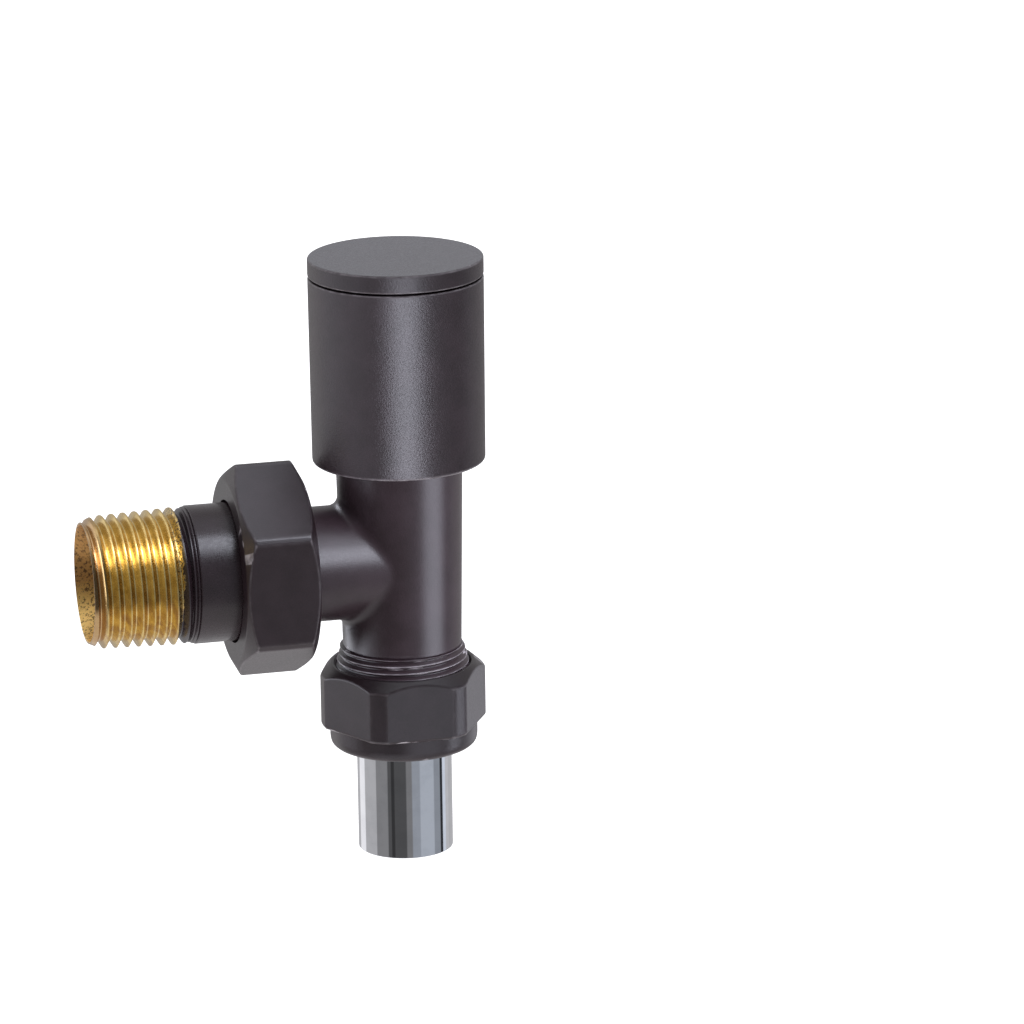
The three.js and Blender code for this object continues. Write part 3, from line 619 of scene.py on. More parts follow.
def tail_profile(angle):
    thread_end = 15.2
    key = hex_radius(angle + TURN / 12, TAIL_KEY_AF)
    key_start, key_end = TAIL_KEY_X
    groove_r0, groove_r1 = SEAL_GROOVE_R
    groove_x = TAIL_END_X - SEAL_GROOVE_DEPTH
    outline = [(TAIL_FLARE_R, TAIL_FLARE_X, 0.2), (TAIL_MOUTH_R, 0, 0.12)]
    for x in helix_places(0, thread_end, angle, TAIL_HELIX_X, PIPE_PITCH):
        outline.append((tail_thread_radius(x, angle), x))
    # Two small steps lead up to the collar.
    for step in range(2):
        start = COLLAR_X - 0.35 + 0.55 * step
        low, high = COLLAR_R - 0.75 + 0.3 * step, COLLAR_R - 0.35 + 0.2 * step
        outline += [(low, start), (high, start + 0.18, 0.05), (high, start + 0.34, 0.05)]
    outline += [(COLLAR_R - 0.32, COLLAR_X + 0.68), (COLLAR_R, COLLAR_X + 0.85, 0.1)]
    outline += [(COLLAR_R, FLANGE_X, 0.1)]
    outline += [(FLANGE_R, FLANGE_X, 0.15), (FLANGE_R, TAIL_END_X, 0.2)]
    outline += [(groove_r1, TAIL_END_X, 0.1), (groove_r1, groove_x, 0.15)]
    outline += [(groove_r0, groove_x, 0.15), (groove_r0, TAIL_END_X, 0.1)]
    outline += [(TAIL_BORE_R, TAIL_END_X, 0.2), (TAIL_BORE_R, key_end + 0.2)]
    outline += [(key, key_end), (key, key_start), (TAIL_FLARE_R, key_start - 0.4)]
    return outline


def union_thread_radius(along, angle):
    """The union's male thread, with along counted from the tail's open end."""
    height = ridge(along, angle, AXIS_X, PIPE_PITCH)
    return UNION_THREAD_R - DEPTH_SHARE * PIPE_PITCH * (1 - height)


def union_nut_profile(angle):
    side = turned_hex_radius(angle - TURN / 4, *UNION_HEX)
    fall = (side - UNION_FACE_R) * UNION_CONE
    clear = UNION_THREAD_R + THREAD_GAP
    lip_x, thread_start, thread_end = NUT_X0 + UNION_LIP, NUT_X0 + 3.9, NUT_X1 - 0.6
    outline = [(UNION_LIP_R, NUT_X0, 0.2), (UNION_FACE_R, NUT_X0, 0.2)]
    outline += [(side, NUT_X0 + fall, 0.3), (side, NUT_X1 - fall, 0.3)]
    outline += [(UNION_FACE_R, NUT_X1, 0.2), (UNION_THREAD_R + 0.6, NUT_X1, 0.2)]
    outline += [(UNION_THREAD_R + 0.1, NUT_X1 - 0.55)]
    for x in span(thread_end, thread_start, 0.16):
        threaded = union_thread_radius(x, angle) + THREAD_GAP
        outline.append((mix(clear, threaded, faded(x, thread_start, thread_end, 0.5, 0.5)), x))
    outline += [(clear, lip_x, 0.2), (UNION_LIP_R, lip_x, 0.2)]
    return outline


# ---- tee body

def tube_radius(z):
    """Radius of the tee's upright tube, which has a slight casting draft."""
    share = (z - SHOULDER_Z) / (WHEEL_LOW_Z - SHOULDER_Z)
    return mix(TUBE_LOW_R, TUBE_TOP_R, min(1, share))


def fine_thread_radius(z, angle):
    """Fine male thread under the tee. Its highest turns run out towards the tube."""
    run_out = ramp(z, SHOULDER_Z - 3.2 * FINE_PITCH, SHOULDER_Z - 0.3 * FINE_PITCH) * 0.62
    lead_in = (1 - ramp(z, BODY_LOW_Z, BODY_LOW_Z + 0.9)) * 0.7
    depth = FINE_DEPTH * (1 - 0.25 * run_out) * (1 - ridge(z, angle, FINE_CREST_Z, FINE_PITCH))
    return FINE_THREAD_R - run_out - lead_in - depth


def fillet_arc(turn, steps):
    """Where a ball in the crossing of the two tubes touches them, and the arc between.

    The ball is small above and below, and larger at the sides.
    """
    ball = FILLET_R + FILLET_EXTRA_R * abs(math.cos(turn)) ** 3
    y = (OUTLET_R + ball) * math.cos(turn)
    z = (OUTLET_R + ball) * math.sin(turn)
    x = -math.sqrt((tube_radius(z) + ball) ** 2 - y * y)
    centre = np.array([x, y, z])
    to_outlet = np.array([0, -math.cos(turn), -math.sin(turn)])
    to_tube = np.array([-x, -y, 0]) / math.hypot(x, y)
    angle = math.acos(float(np.clip(to_outlet @ to_tube, -1, 1)))
    arc = []
    for j in range(steps + 1):
        share = j / steps
        way = math.sin((1 - share) * angle) * to_outlet + math.sin(share * angle) * to_tube
        arc.append(tuple(centre + ball * way / math.sin(angle)))
    return arc


def spigot_radius(x, turn):
    """Outlet radius at x, counted from the tee's crossing: tube, step, then male thread."""
    step, fade = 0.9, 1.0
    if x > SPIGOT_BACK_X:
        return mix(OUTLET_R, SPIGOT_ROOT_R, ramp(SPIGOT_BACK_X + step - x, 0, step))
    threaded = union_thread_radius(AXIS_X + x, turn)
    return mix(SPIGOT_ROOT_R, threaded, faded(x, OUTLET_END_X, SPIGOT_BACK_X, fade, fade))


class Skin:
    """Vertices and faces of a skin that is built from rings of points."""

    def __init__(self):
        self.vertices = []
        self.faces = []

    def ring(self, points, before=None, closed=True):
        """Adds a ring, joined to the one that starts at before. Returns its own start."""
        start = len(self.vertices)
        self.vertices.extend(points)
        count = len(points)
        if before is not None:
            for i in range(count if closed else count - 1):
                j = (i + 1) % count
                self.faces.append((before + i, before + j, start + j, start + i))
        return start

    def lid(self, start, count):
        self.faces.append(tuple(range(start, start + count)))


def on_tube(theta, z, r=None):
    """A point on the tee's tube, or at radius r, with the spindle's axis as origin."""
    r = tube_radius(z) if r is None else r
    return (r * math.cos(theta), r * math.sin(theta), z)


def on_outlet(x, turn, r):
    return (x, r * math.cos(turn), r * math.sin(turn))


def tee_shell():
    """The closed outer skin of the tee, with one grid running over tube, blend and outlet."""
    half = 24                      # columns from the middle of a patch side to its corner
    loop = 8 * half                # points round the hole where the outlet joins
    reach = math.radians(86)       # half the width of the patch round the hole
    patch_z = 13.2                 # half the patch's height
    patch_rings = 10
    blend_steps = 8
    plain_shares = (0.12, 0.3, 0.55, 0.8, 0.95, 1.0)
    plain_end_x = SPIGOT_BACK_X + 1.0
    skin = Skin()
    turns = [TURN * i / loop for i in range(loop)]

    # Points of the patch's rim in (theta, z), walked the same way round as the hole.
    rim = []
    for turn in turns:
        across, up = math.cos(turn), math.sin(turn)
        stretch = max(abs(across), abs(up))
        rim.append((math.pi - reach * across / stretch, up / stretch * patch_z))
    arcs = [fillet_arc(turn, blend_steps) for turn in turns]
    hole = [(math.atan2(arc[-1][1], arc[-1][0]) % TURN, arc[-1][2]) for arc in arcs]

    # From the patch's rim in to the hole, over the blend, then out along the outlet.
    last = None
    for k in range(patch_rings + 1):
        share = k / patch_rings
        share = share * (3 - share) / 2
        places = [(mix(a[0], b[0], share), mix(a[1], b[1], share)) for a, b in zip(rim, hole)]
        last = skin.ring([on_tube(theta, z) for theta, z in places], last)
    for j in reversed(range(blend_steps)):
        last = skin.ring([arc[j] for arc in arcs], last)
    for share in plain_shares:
        places = [(mix(arc[0][0], plain_end_x, share), turn) for arc, turn in zip(arcs, turns)]
        last = skin.ring([on_outlet(x, turn, OUTLET_R) for x, turn in places], last)
    for x in span(SPIGOT_BACK_X + 0.85, OUTLET_END_X, 0.14):
        last = skin.ring([on_outlet(x, turn, spigot_radius(x, turn)) for turn in turns], last)
    skin.lid(last, loop)

    # The rest of the tube: bands above and below the patch.
    behind = 2 * half
    thetas = sorted(theta for theta, z in rim if abs(z - patch_z) < 1e-9)
    gap = TURN - (thetas[-1] - thetas[0])
    extra = [thetas[-1] + gap * (i + 1) / (behind + 1) for i in range(behind)]
    columns = thetas + extra
    top = [(z, None) for z in (patch_z, 14.5, WHEEL_LOW_Z, 19.5, 22.4)]
    top += [(BODY_TOP_Z - 0.2, TUBE_TOP_R - 0.1), (BODY_TOP_Z, TUBE_TOP_R - 0.4)]
    foot = [(z, None) for z in (-patch_z, -13.5, SHOULDER_Z + 0.12)]
    foot += [(SHOULDER_Z, TUBE_LOW_R - 0.1)]
    last = None
    for z, r in top:
        last = skin.ring([on_tube(theta, z, r) for theta in columns], last)
    skin.lid(last, len(columns))
    last = None
    for z, r in foot:
        last = skin.ring([on_tube(theta, z, r) for theta in columns], last)

    # The thread's rows climb with its helix. Its last column lies on its first one.
    foot_ring = last
    round_again = columns + [columns[0] + TURN]
    climb = FINE_CREST_Z + FINE_PITCH * columns[0] / TURN
    places = []
    for theta in round_again:
        along = helix_places(
            BODY_LOW_Z, SHOULDER_Z - 0.1, theta - columns[0], climb, FINE_PITCH)
        places.append(along[::-1])
    for row in zip(*places):
        points = [on_tube(t, z, fine_thread_radius(z, t)) for t, z in zip(round_again, row)]
        start = skin.ring(points)
        for i in range(len(columns)):
            after = (i + 1) % len(columns) if last == foot_ring else i + 1
            skin.faces.append((last + i, last + after, start + i + 1, start + i))
        last = start
    skin.lid(last, len(columns))

    # The strip behind the patch, between its two upright sides.
    strip = [thetas[-1]] + extra + [thetas[0] + TURN]
    last = None
    for z in sorted({round(z, 9) for theta, z in rim}):
        last = skin.ring([on_tube(theta, z) for theta in strip], last, closed=False)

    return mesh_from(np.array(skin.vertices) + (AXIS_X, 0, 0), skin.faces)


def valve_body_mesh():
    """The tee's skin with its chamber, seat, pipe socket and outlet bore cut out."""
    ring_z, above = BODY_TOP_Z - 1.1, BODY_TOP_Z + 1
    chamber = around([
        (0, SEAT_BACK_Z), (SEAT_R, SEAT_BACK_Z), (SEAT_R, SEAT_Z, 0.2), (SEAT_RIM_R, SEAT_Z),
        (SEAT_RIM_R, CHAMBER_FLOOR_Z), (CHAMBER_R, CHAMBER_FLOOR_Z), (CHAMBER_R, BONNET_THREAD_Z),
        (BONNET_THREAD_R, BONNET_THREAD_Z), (BONNET_THREAD_R, ring_z), (BONNET_RING_R, ring_z),
        (BONNET_RING_R, above), (0, above),
    ])
    below, seat_z = BODY_LOW_Z - 1, SEAT_BACK_Z + 0.01
    inlet = around([
        (0, below), (MOUTH_R, below), (MOUTH_R, BODY_LOW_Z), (SOCKET_R, BODY_LOW_Z + MOUTH_DEPTH),
        (SOCKET_R, PIPE_STOP_Z), (PIPE_BORE_R, PIPE_STOP_Z), (PIPE_BORE_R, -10.4),
        (SEAT_R, seat_z), (0, seat_z),
    ])
    start, end = AXIS_X + OUTLET_END_X - 1, AXIS_X - 7
    bore = around([(0, start), (OUTLET_BORE_R, start), (OUTLET_BORE_R, end), (0, end)], axis="x")
    return cut_from(tee_shell(), chamber, inlet, bore)


def compression_nut_profile(angle):
    side = turned_hex_radius(angle, *COMP_HEX)
    crown = COMP_TOP_Z - (side - COMP_FACE_R) * COMP_CONE
    clear = FINE_THREAD_R + THREAD_GAP
    collar, hex_low = COMP_COLLAR_R, COMP_HEX_LOW_Z
    thread_top, thread_low = COMP_TOP_Z - 0.4, -24.6
    seat_top, seat_low = OLIVE_SEAT_Z
    outline = [(PIPE_HOLE_R, COMP_LOW_Z, 0.2), (collar - 0.7, COMP_LOW_Z, 0.3)]
    outline += [(collar - 0.15, COMP_LOW_Z + 0.5, 0.3), (collar, COMP_LOW_Z + 1.3, 0.3)]
    outline += [(collar, hex_low, 0.12), (side - 0.25, hex_low, 0.1), (side, hex_low + 0.3, 0.2)]
    outline += [(side, crown, 0.3), (COMP_FACE_R, COMP_TOP_Z, 0.2)]
    outline += [(FINE_THREAD_R + 0.45, COMP_TOP_Z, 0.12)]
    for z in span(thread_top, thread_low, 0.1):
        threaded = max(fine_thread_radius(z, angle) + THREAD_GAP, clear - 0.6)
        outline.append((mix(threaded, clear, ramp(z, thread_top - 0.8, thread_top)), z))
    outline += [(clear, seat_top), (OLIVE_SEAT_R, seat_top, 0.1), (PIPE_HOLE_R, seat_low, 0.3)]
    return outline


def pipe_profile():
    bore, ease = PIPE_BORE_R, 0.2
    return [
        (bore, PIPE_LOW_Z, 0.12), (PIPE_R, PIPE_LOW_Z, 0.12), (PIPE_R, PIPE_TOP_Z - ease, 0.1),
        (PIPE_R - ease, PIPE_TOP_Z, 0.1), (bore, PIPE_TOP_Z, 0.1),
    ]


def olive_profile():
    inner, shoulder = PIPE_R + 0.06, 7.95
    low, high = OLIVE_Z - OLIVE_HALF_WIDTH, OLIVE_Z + OLIVE_HALF_WIDTH
    return [
        (inner, low, 0.1), (shoulder, low, 0.2), (OLIVE_R, OLIVE_Z - 0.7, 0.5),
        (OLIVE_R, OLIVE_Z + 0.7, 0.5), (shoulder, high, 0.2), (inner, high, 0.1),
    ]


# ---- headwork

def thread_points(angle, start, end, root_r, crest_r, pitch, fades, step=0.12):
    """Points along a plain thread that fades in over fades[0] and out over fades[1]."""
    points = []
    for z in span(start, end, step):
        height = ridge(z, angle, 0, pitch) * faded(z, start, end, *fades)
        points.append((mix(root_r, crest_r, height), z))
    return points


def bonnet_profile(angle):
    low, top = ends("bonnet")
    hexagon = hex_radius(angle, *BONNET_HEX)
    hex_top, face_z, packing_z = 27.9, 28.3, GLAND_PACKING_Z
    skirt, relief, flange, face, neck, packing_r = 7.3, 7.9, 9.8, 8.3, 7.0, 5.6
    flange_low, flange_top = BODY_TOP_Z + 0.1, BODY_TOP_Z + 1.3
    nut_r = SPINDLE_THREAD_R + THREAD_GAP
    outline = [(nut_r, low, 0.2), (skirt, low, 0.3), (skirt, BONNET_THREAD_Z + 0.2)]
    outline += thread_points(angle, 12.9, BODY_TOP_Z - 1.5, 7.75, 8.3, 1.0, (0.8, 0.7))
    outline += [(relief, BODY_TOP_Z - 1.2), (relief, flange_low), (flange, flange_low, 0.2)]
    outline += [(flange, flange_top, 0.2), (hexagon, flange_top, 0.05), (hexagon, hex_top, 0.3)]
    outline += [(face, face_z, 0.2), (neck, face_z, 0.2), (neck, top, 0.3)]
    outline += [(packing_r, top, 0.15), (packing_r, packing_z, 0.1)]
    outline += [(SPINDLE_HOLE_R, packing_z, 0.1), (SPINDLE_HOLE_R, 20.8, 0.1), (nut_r, 20.2, 0.1)]
    return outline


def gland_nut_profile(angle):
    low, top = ends("gland_nut")
    hexagon = hex_radius(angle, *GLAND_HEX)
    skirt, face, head_low = 5.5, 5.8, 34.5
    crown = top - (hexagon - face) * 0.5
    return [
        (SPINDLE_HOLE_R, low, 0.1), (skirt, low, 0.2), (skirt, head_low, 0.05),
        (hexagon, head_low, 0.15), (hexagon, crown, 0.2), (face, top, 0.15),
        (SPINDLE_HOLE_R, top, 0.2),
    ]


def splined(middle_r, angle):
    """Radius of a spline whose teeth rise and fall by SPLINE_DEPTH."""
    return middle_r + SPLINE_DEPTH * math.cos(SPLINE_COUNT * angle)


def spindle_profile(angle):
    low, top = ends("spindle")
    shaft, foot, ring_groove, ring_half = SPINDLE_R, 4.2, 2.75, 0.85
    clip_groove, clip_low, clip_top = 3.3, 37.2, 38.05
    stem_hole, stem_clip_r, screw_hole = 1.95, 2.8, 2.08
    tooth = splined(3.65, angle)
    outline = [(stem_hole, low, 0.1), (foot, low, 0.3), (foot, 8)]
    outline += thread_points(angle, 8.2, 14.7, 4.15, SPINDLE_THREAD_R, SPINDLE_PITCH, (0.7, 0.7))
    outline += [(shaft, 15)]
    for ring in ("spindle_o_ring_lower", "spindle_o_ring_upper"):
        middle = sum(ends(ring)) / 2
        outline += [(shaft, middle - ring_half, 0.1), (ring_groove, middle - ring_half, 0.15)]
        outline += [(ring_groove, middle + ring_half, 0.15), (shaft, middle + ring_half, 0.1)]
    outline += [(shaft, clip_low, 0.1), (clip_groove, clip_low, 0.1)]
    outline += [(clip_groove, clip_top, 0.1), (shaft, clip_top, 0.1), (shaft, 38.2, 0.1)]
    outline += [(tooth, 38.25, 0.1), (tooth, top - 0.4), (3.2, top, 0.1)]
    outline += [(screw_hole, top, 0.1), (screw_hole, 33.6), (0, 33.2), (0, 5), (stem_hole, 4.9)]
    outline += [(stem_hole, 2.7), (stem_clip_r, 2.7, 0.1), (stem_clip_r, 1.5, 0.1)]
    outline += [(stem_hole, 1.5)]
    return outline


def jumper_outline():
    stud, stud_low, clip_groove, clip_low, clip_top = 1.9, -8.9, 1.4, 1.6, 2.55
    plate, plate_low, plate_top, stem_top = 6.6, -3.5, -1.5, 4.6
    return [
        (0, stud_low), (stud, stud_low, 0.2), (stud, plate_low, 0.1), (plate, plate_low, 0.2),
        (plate, plate_top, 0.4), (STEM_R, plate_top, 0.2), (STEM_R, clip_low, 0.1),
        (clip_groove, clip_low, 0.1), (clip_groove, clip_top, 0.1), (STEM_R, clip_top, 0.1),
        (STEM_R, stem_top - 0.3, 0.2), (0, stem_top),
    ]


def washer_nut_profile(angle):
    low, top = ends("washer_nut")
    hole, face = 2.0, 3.4
    hexagon = hex_radius(angle, *WASHER_NUT_HEX)
    cone = (hexagon - face) * 0.5
    return [
        (hole, low, 0.15), (face, low, 0.1), (hexagon, low + cone, 0.15),
        (hexagon, top - cone, 0.15), (face, top, 0.1), (hole, top, 0.15),
    ]


def handwheel_screw_profile(angle):
    low, top = ends("handwheel_screw")
    shank, head, head_low, key_low = 1.9, 3.8, 42.66, 43.3
    key = hex_radius(angle, SCREW_KEY_AF)
    outline = [(0, low), (1.5, low, 0.1)]
    outline += thread_points(angle, 34.6, 40.4, 1.7, 1.95, 0.7, (0.5, 0.4), step=0.1)
    outline += [(shank, 40.6), (shank, head_low, 0.05), (head, head_low, 0.15), (head, 43.9, 0.3)]
    outline += [(3.0, top, 0.3), (key + 0.15, top, 0.05), (key, top - 0.15), (key, key_low)]
    outline += [(0, key_low - 0.2)]
    return outline


def washer(inner, outer, low, high, fillets):
    """A flat ring's section. The fillets go round from its inner low corner."""
    corners = [(inner, low), (outer, low), (outer, high), (inner, high)]
    return [(r, z, fillet) for (r, z), fillet in zip(corners, fillets)]


def o_ring(node, axis="z"):
    """A ring of round section that fills its CAD ring's height."""
    squeeze, sides = 1.06, 20
    low, high = ends(node, 2 if axis == "z" else 0)
    half = (high - low) / 2
    section = half * squeeze
    middle = (low + high) / 2
    centre_r = radius(node) - half
    outline = []
    for i in range(sides):
        turn = TURN * i / sides
        outline.append((centre_r + section * math.cos(turn), middle + section * math.sin(turn)))
    return around(outline, axis)


def open_ring(inner, outer, low, high, half_gap):
    """A flat spring ring with a gap that faces +X."""
    section = rounded(washer(inner, outer, low, high, [0.12] * 4))
    angles = np.linspace(half_gap, TURN - half_gap, 90)
    rows = [about_z(section[:, 0], angle, section[:, 1]) for angle in angles]
    return mesh_from_rows(rows, close_rows=False, cap_ends=True)


# ---- handwheel

def wheel_shell_outline():
    cap_hole, hub_hole = 11.7, 6.2
    web_low, web_top = WEB_Z
    return [
        (WHEEL_BORE_R, WHEEL_LOW_Z, 0.25), (WHEEL_LOW_R, WHEEL_LOW_Z, 0.5),
        (WHEEL_TOP_R, WHEEL_RIM_Z, 0.3), (cap_hole, WHEEL_RIM_Z, 0.15), (cap_hole, web_top, 0.2),
        (hub_hole, web_top, 0.1), (hub_hole, web_low, 0.1), (10.8, web_low, 0.4),
        (WHEEL_BORE_R, web_low - 1.2, 0.6),
    ]


def wheel_cap_outline():
    low = WHEEL_RIM_Z + 0.3
    inner_top = low + 0.2
    skirt_low = ends("handwheel_cap")[0]
    outer, inner, groove = CAP_SKIRT_R, 9.4, CAP_GROOVE_R
    groove_low, groove_top = CAP_GROOVE_Z
    return [
        (0, WHEEL_TOP_Z), (WHEEL_TOP_R - 0.8, WHEEL_TOP_Z), (WHEEL_TOP_R, WHEEL_TOP_Z, 0.35),
        (WHEEL_TOP_R, low, 0.3), (outer, low, 0.05), (outer, groove_top, 0.1),
        (groove, groove_top, 0.1), (groove, groove_low, 0.1), (outer, groove_low, 0.1),
        (outer, skirt_low, 0.2), (inner, skirt_low, 0.2), (inner, inner_top, 0.4), (0, inner_top),
    ]


def insert_profile(angle):
    flange, foot, flange_low, flange_top, top = 7.4, 5.6, 37.5, 38.35, WEB_Z[1]
    tooth = splined(3.8, angle)
    return [
        (tooth, top), (HUB_R, top, 0.1), (HUB_R, flange_top), (flange, flange_top, 0.1),
        (flange, flange_low, 0.2), (foot, flange_low, 0.1), (foot, 38.25), (tooth, 38.3),
    ]


# ---- assembly

FINE = 256
SPLINED = 12 * SPLINE_COUNT
LONG = 192
MIDDLE = 144

SEAT_WASHER = washer(2.0, 6.5, -6.15, -3.55, (0.2, 0.4, 0.2, 0.1))
GLAND_PACKING = washer(4.1, 5.52, 31.06, 32.6, (0.2, 0.2, 0.2, 0.2))
SCREW_WASHER = washer(2.15, 5.6, 42.05, 42.6, (0.08, 0.1, 0.2, 0.08))
UNION_ANGLES = turned_hex_angles(*UNION_HEX, TURN / 4)
COMP_ANGLES = turned_hex_angles(*COMP_HEX, 0)

# node: (body, mesh, finish)
PIECES = {
    "radiator_tail": ("tail", around(tail_profile, "x", LONG, helical=True), "tail"),
    "union_seal_ring": ("tail", o_ring("union_seal_ring", "x"), "rubber"),
    "union_nut": ("union_nut", around(union_nut_profile, "x", angles=UNION_ANGLES), "black"),
    "valve_body": ("valve_body", valve_body_mesh(), "black"),
    "bonnet": ("valve_body", around(bonnet_profile, segments=MIDDLE), "brass"),
    "bonnet_o_ring": ("valve_body", o_ring("bonnet_o_ring"), "rubber"),
    "gland_packing": ("valve_body", around(GLAND_PACKING), "packing"),
    "gland_nut": ("valve_body", around(gland_nut_profile, segments=MIDDLE), "brass"),
    "spindle": ("handwheel", around(spindle_profile, segments=SPLINED), "brass"),
    "spindle_o_ring_lower": ("handwheel", o_ring("spindle_o_ring_lower"), "rubber"),
    "spindle_o_ring_upper": ("handwheel", o_ring("spindle_o_ring_upper"), "rubber"),
    "spindle_circlip": ("handwheel", open_ring(3.36, 5.3, 37.26, 37.98, 0.4), "steel"),
    "jumper": ("jumper", around(jumper_outline()), "brass"),
    "jumper_clip": ("jumper", open_ring(1.46, 2.6, 1.75, 2.4, 0.35), "steel"),
    "seat_washer": ("jumper", around(SEAT_WASHER), "rubber"),
    "washer_nut": ("jumper", around(washer_nut_profile, segments=MIDDLE), "brass"),
    "handwheel_shell": ("handwheel", around(wheel_shell_outline(), segments=FINE), "matte"),
    "handwheel_insert": ("handwheel", around(insert_profile, segments=SPLINED), "brass"),
    "screw_washer": ("handwheel", around(SCREW_WASHER), "steel"),
    "handwheel_screw": ("handwheel", around(handwheel_screw_profile), "steel"),
    "handwheel_cap": ("handwheel", around(wheel_cap_outline(), segments=FINE), "matte"),
    "cap_ring": ("handwheel", o_ring("cap_ring"), "rubber"),
    "supply_pipe": ("supply_pipe", around(pipe_profile(), segments=LONG), "chrome"),
    "compression_olive": ("supply_pipe", around(olive_profile(), segments=MIDDLE), "brass"),
    "compression_nut": (
        "compression_nut", around(compression_nut_profile, angles=COMP_ANGLES), "black"),
}

pieces = {node: add_piece(node, *piece) for node, piece in PIECES.items()}


# ---- camera, stage

def direction(azimuth, elevation):
    """Unit vector towards a place seen at this azimuth and elevation. Azimuth 0 is -Y."""
    a, e = math.radians(azimuth), math.radians(elevation)
    return Vector((math.sin(a) * math.cos(e), -math.cos(a) * math.cos(e), math.sin(e)))


def add_camera():
    """Looks past the spindle's axis from a long way off. Angles in degrees, the rest in mm."""
    azimuth, elevation, roll = -13.962, 16.163, -0.736
    distance, off_right, off_up = 883.856, -17.445, -7.035
    focal_length, sensor_width, far_m = 198.2, 36, 50
    back = direction(azimuth, elevation)
    a, tilt = math.radians(azimuth), math.radians(roll)
    level = Vector((math.cos(a), math.sin(a), 0))
    upright = back.cross(level)
    right = level * math.cos(tilt) + upright * math.sin(tilt)
    up = upright * math.cos(tilt) - level * math.sin(tilt)
    place = Vector((AXIS_X, 0, 0)) + back * distance - right * off_right - up * off_up
    data = bpy.data.cameras.new("camera")
    data.lens = focal_length
    data.sensor_width = sensor_width
    data.clip_end = far_m
    camera = add_object("camera", data)
    turn = Matrix((right, up, back)).transposed().to_4x4()
    camera.matrix_world = Matrix.Translation(place * MM) @ turn
    bpy.context.scene.camera = camera


# The room in the reflections, as bands of (from azimuth, to azimuth, level, tint).
NEUTRAL = (1.0, 0.99, 1.01)
COOL = (0.93, 0.99, 1.10)
ROOM = [
    (-180, -156, 0.50, NEUTRAL), (-156, -128, 0.97, NEUTRAL), (-128, -88, 0.48, NEUTRAL),
    (-88, -56, 0.245, NEUTRAL), (-56, -47, 0.09, NEUTRAL), (-47, -39, 0.04, NEUTRAL),
    (-39, -10, 0.085, NEUTRAL), (-10, 4, 0.21, NEUTRAL), (4, 24, 0.35, COOL), (24, 62, 0.48, COOL),
    (62, 82, 0.31, COOL), (82, 91, 0.03, COOL), (91, 103, 0.75, COOL), (103, 118, 0.58, NEUTRAL),
    (118, 180, 0.50, NEUTRAL),
]
BAND_FADE = 0.7  # degrees that a band gives up at each side

# Colour of each, and the elevations where it starts and is full.
CEILING = ((0.90, 0.90, 0.96), 50, 75)
GROUND = ((0.85, 0.84, 0.86), -32, -45)


def add_world():
    """White to the camera. What reflects is a studio: bright behind, dark cards in front."""
    world = bpy.data.worlds.new("studio")
    bpy.context.scene.world = world
    world.use_nodes = True
    nodes = Nodes(world.node_tree)
    nodes.tree.nodes.clear()

    way = nodes.parts(nodes.node("ShaderNodeTexCoord").outputs["Generated"])
    azimuth = nodes.math("ARCTAN2", way[0], nodes.times(way[1], -1.0))
    bands = nodes.node("ShaderNodeValToRGB")
    bands.color_ramp.interpolation = "LINEAR"
    nodes.fill(bands.inputs[0], nodes.plus(nodes.math("DIVIDE", azimuth, TURN), 0.5))
    places = []
    for start, end, level, tint in ROOM:
        colour = [level * share for share in tint] + [1]
        places += [(start + BAND_FADE, colour), (end - BAND_FADE, colour)]
    stops = bands.color_ramp.elements
    while len(stops) > 1:
        stops.remove(stops[-1])
    for i, (degrees, colour) in enumerate(places):
        stop = stops[0] if i == 0 else stops.new(1.0)
        stop.position = (degrees + 180) / 360
        stop.color = colour

    colour = bands.outputs[0]
    for end_colour, start, full in (CEILING, GROUND):
        low, high = math.sin(math.radians(start)), math.sin(math.radians(full))
        colour = nodes.blend(nodes.levels(way[2], low, high), colour, end_colour)

    room = nodes.node("ShaderNodeBackground", {"Color": colour})
    backdrop = nodes.node("ShaderNodeBackground", {"Color": (1.0, 1.0, 1.0)})
    to_camera = nodes.node("ShaderNodeLightPath").outputs["Is Camera Ray"]
    choose = nodes.node(
        "ShaderNodeMixShader", {0: to_camera, 1: room.outputs[0], 2: backdrop.outputs[0]})
    nodes.node("ShaderNodeOutputWorld", {"Surface": choose.outputs[0]})


def add_floor():
    """A plain white floor well below the pipe's end."""
    half, height = 6000, PIPE_LOW_Z - 110
    corners = [(-half, -half), (half, -half), (half, half), (-half, half)]
    mesh = bpy.data.meshes.new("floor")
    mesh.from_pydata([(x * MM, y * MM, height * MM) for x, y in corners], [], [(0, 1, 2, 3)])
    floor = add_object("floor", mesh)
    shader = Shader("plain_white_floor")
    white, grey = (1.0, 1.0, 1.0), (0.9, 0.9, 0.9)
    shader.set(Base_Color=grey, Roughness=0.9, Emission_Color=white, Emission_Strength=1.0)
    mesh.materials.append(shader.material)
    floor.visible_glossy = False


SOFTBOX_COLOUR = (0.94, 0.97, 1.10)
SOFTBOX_DISTANCE = 700
SOFTBOX_TARGET = (AXIS_X, 0, 5)
TAIL, UNION, BODY, COMP = ["radiator_tail"], ["union_nut"], ["valve_body"], ["compression_nut"]
SHELL, CAP = ["handwheel_shell"], ["handwheel_cap"]

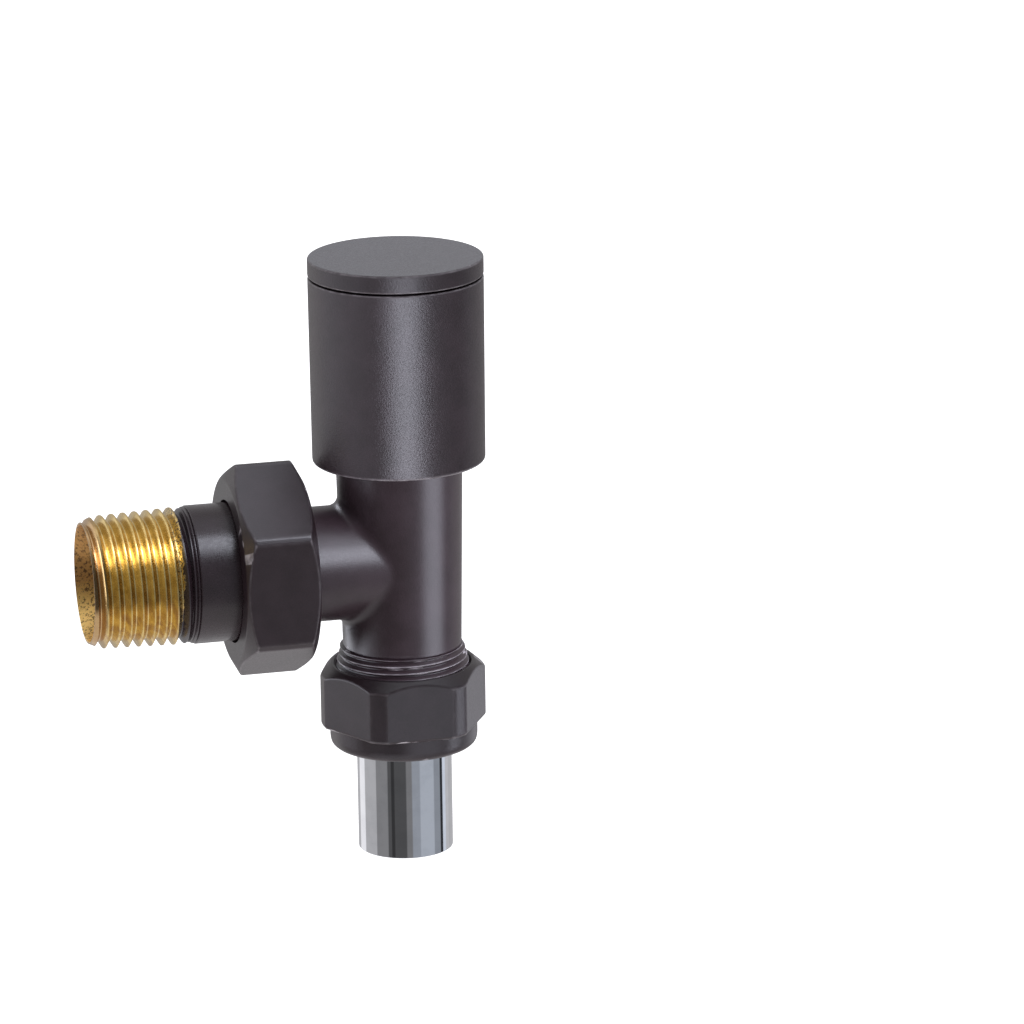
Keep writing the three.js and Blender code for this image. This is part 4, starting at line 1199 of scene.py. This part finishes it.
# name, azimuth, elevation, width, height, power, receivers, and True on an unshaded one
LIGHTS = [
    ("tail_box", 38, 59, 400, 400, 3.1, TAIL + UNION),
    ("nut_top_box", 134, 70, 600, 600, 1.0, UNION),
    ("outlet_box", 17, 27, 320, 380, 3.8, BODY, True),
    ("fillet_box", -143, 29, 300, 300, 1.7, BODY, True),
    ("crest_box", 50, 48, 240, 240, 4.0, BODY, True),
    ("tube_strip", 51, -14, 460, 560, 3.4, BODY),
    ("tube_fill", -118, -10, 800, 560, 3.6, BODY, True),
    ("nut_box", 20, -16, 640, 420, 0.85, COMP),
    ("nut_right_box", 120, -12, 400, 400, 0.32, COMP),
    ("nut_corner_box", 72, -14, 130, 400, 0.80, COMP),
    ("crown_box", 60, 75, 600, 600, 0.9, COMP, True),
    ("collar_box", -30, -40, 800, 400, 0.7, COMP, True),
    ("wheel_box", -2, -14, 400, 600, 7.5, SHELL),
    ("cap_box", -2, -14, 400, 600, 4.6, CAP),
    ("wheel_card", -84, -10, 1150, 500, 1.7, SHELL + CAP),
    ("rim_box", 14, -62, 360, 360, 5.0, SHELL + CAP),
    ("left_card", -104, 8, 400, 600, 2.1, COMP + TAIL),
    ("body_card", -90, 8, 600, 600, 4.5, BODY),
    ("cap_sheen", 166, 24, 500, 300, 0.45, CAP),
]


def softbox(name, azimuth, elevation, width, height, power, receivers, unshaded=False):
    """A rectangular soft light that faces the valve and lights only its receivers.

    On an unshaded one only the receivers themselves cast shadows.
    """
    data = bpy.data.lights.new(name, "AREA")
    data.shape = "RECTANGLE"
    data.size = width * MM
    data.size_y = height * MM
    data.energy = power
    data.color = SOFTBOX_COLOUR
    light = add_object(name, data)
    way = direction(azimuth, elevation)
    light.location = (Vector(SOFTBOX_TARGET) + way * SOFTBOX_DISTANCE) * MM
    light.rotation_euler = way.to_track_quat("Z", "Y").to_euler()
    light.visible_camera = False
    lit = bpy.data.collections.new(name + "_lights")
    for node in receivers:
        lit.objects.link(pieces[node])
    light.light_linking.receiver_collection = lit
    if unshaded:
        light.light_linking.blocker_collection = lit


add_camera()
add_world()
add_floor()
for light in LIGHTS:
    softbox(*light)
bpy.context.scene.view_settings.view_transform = "Standard"
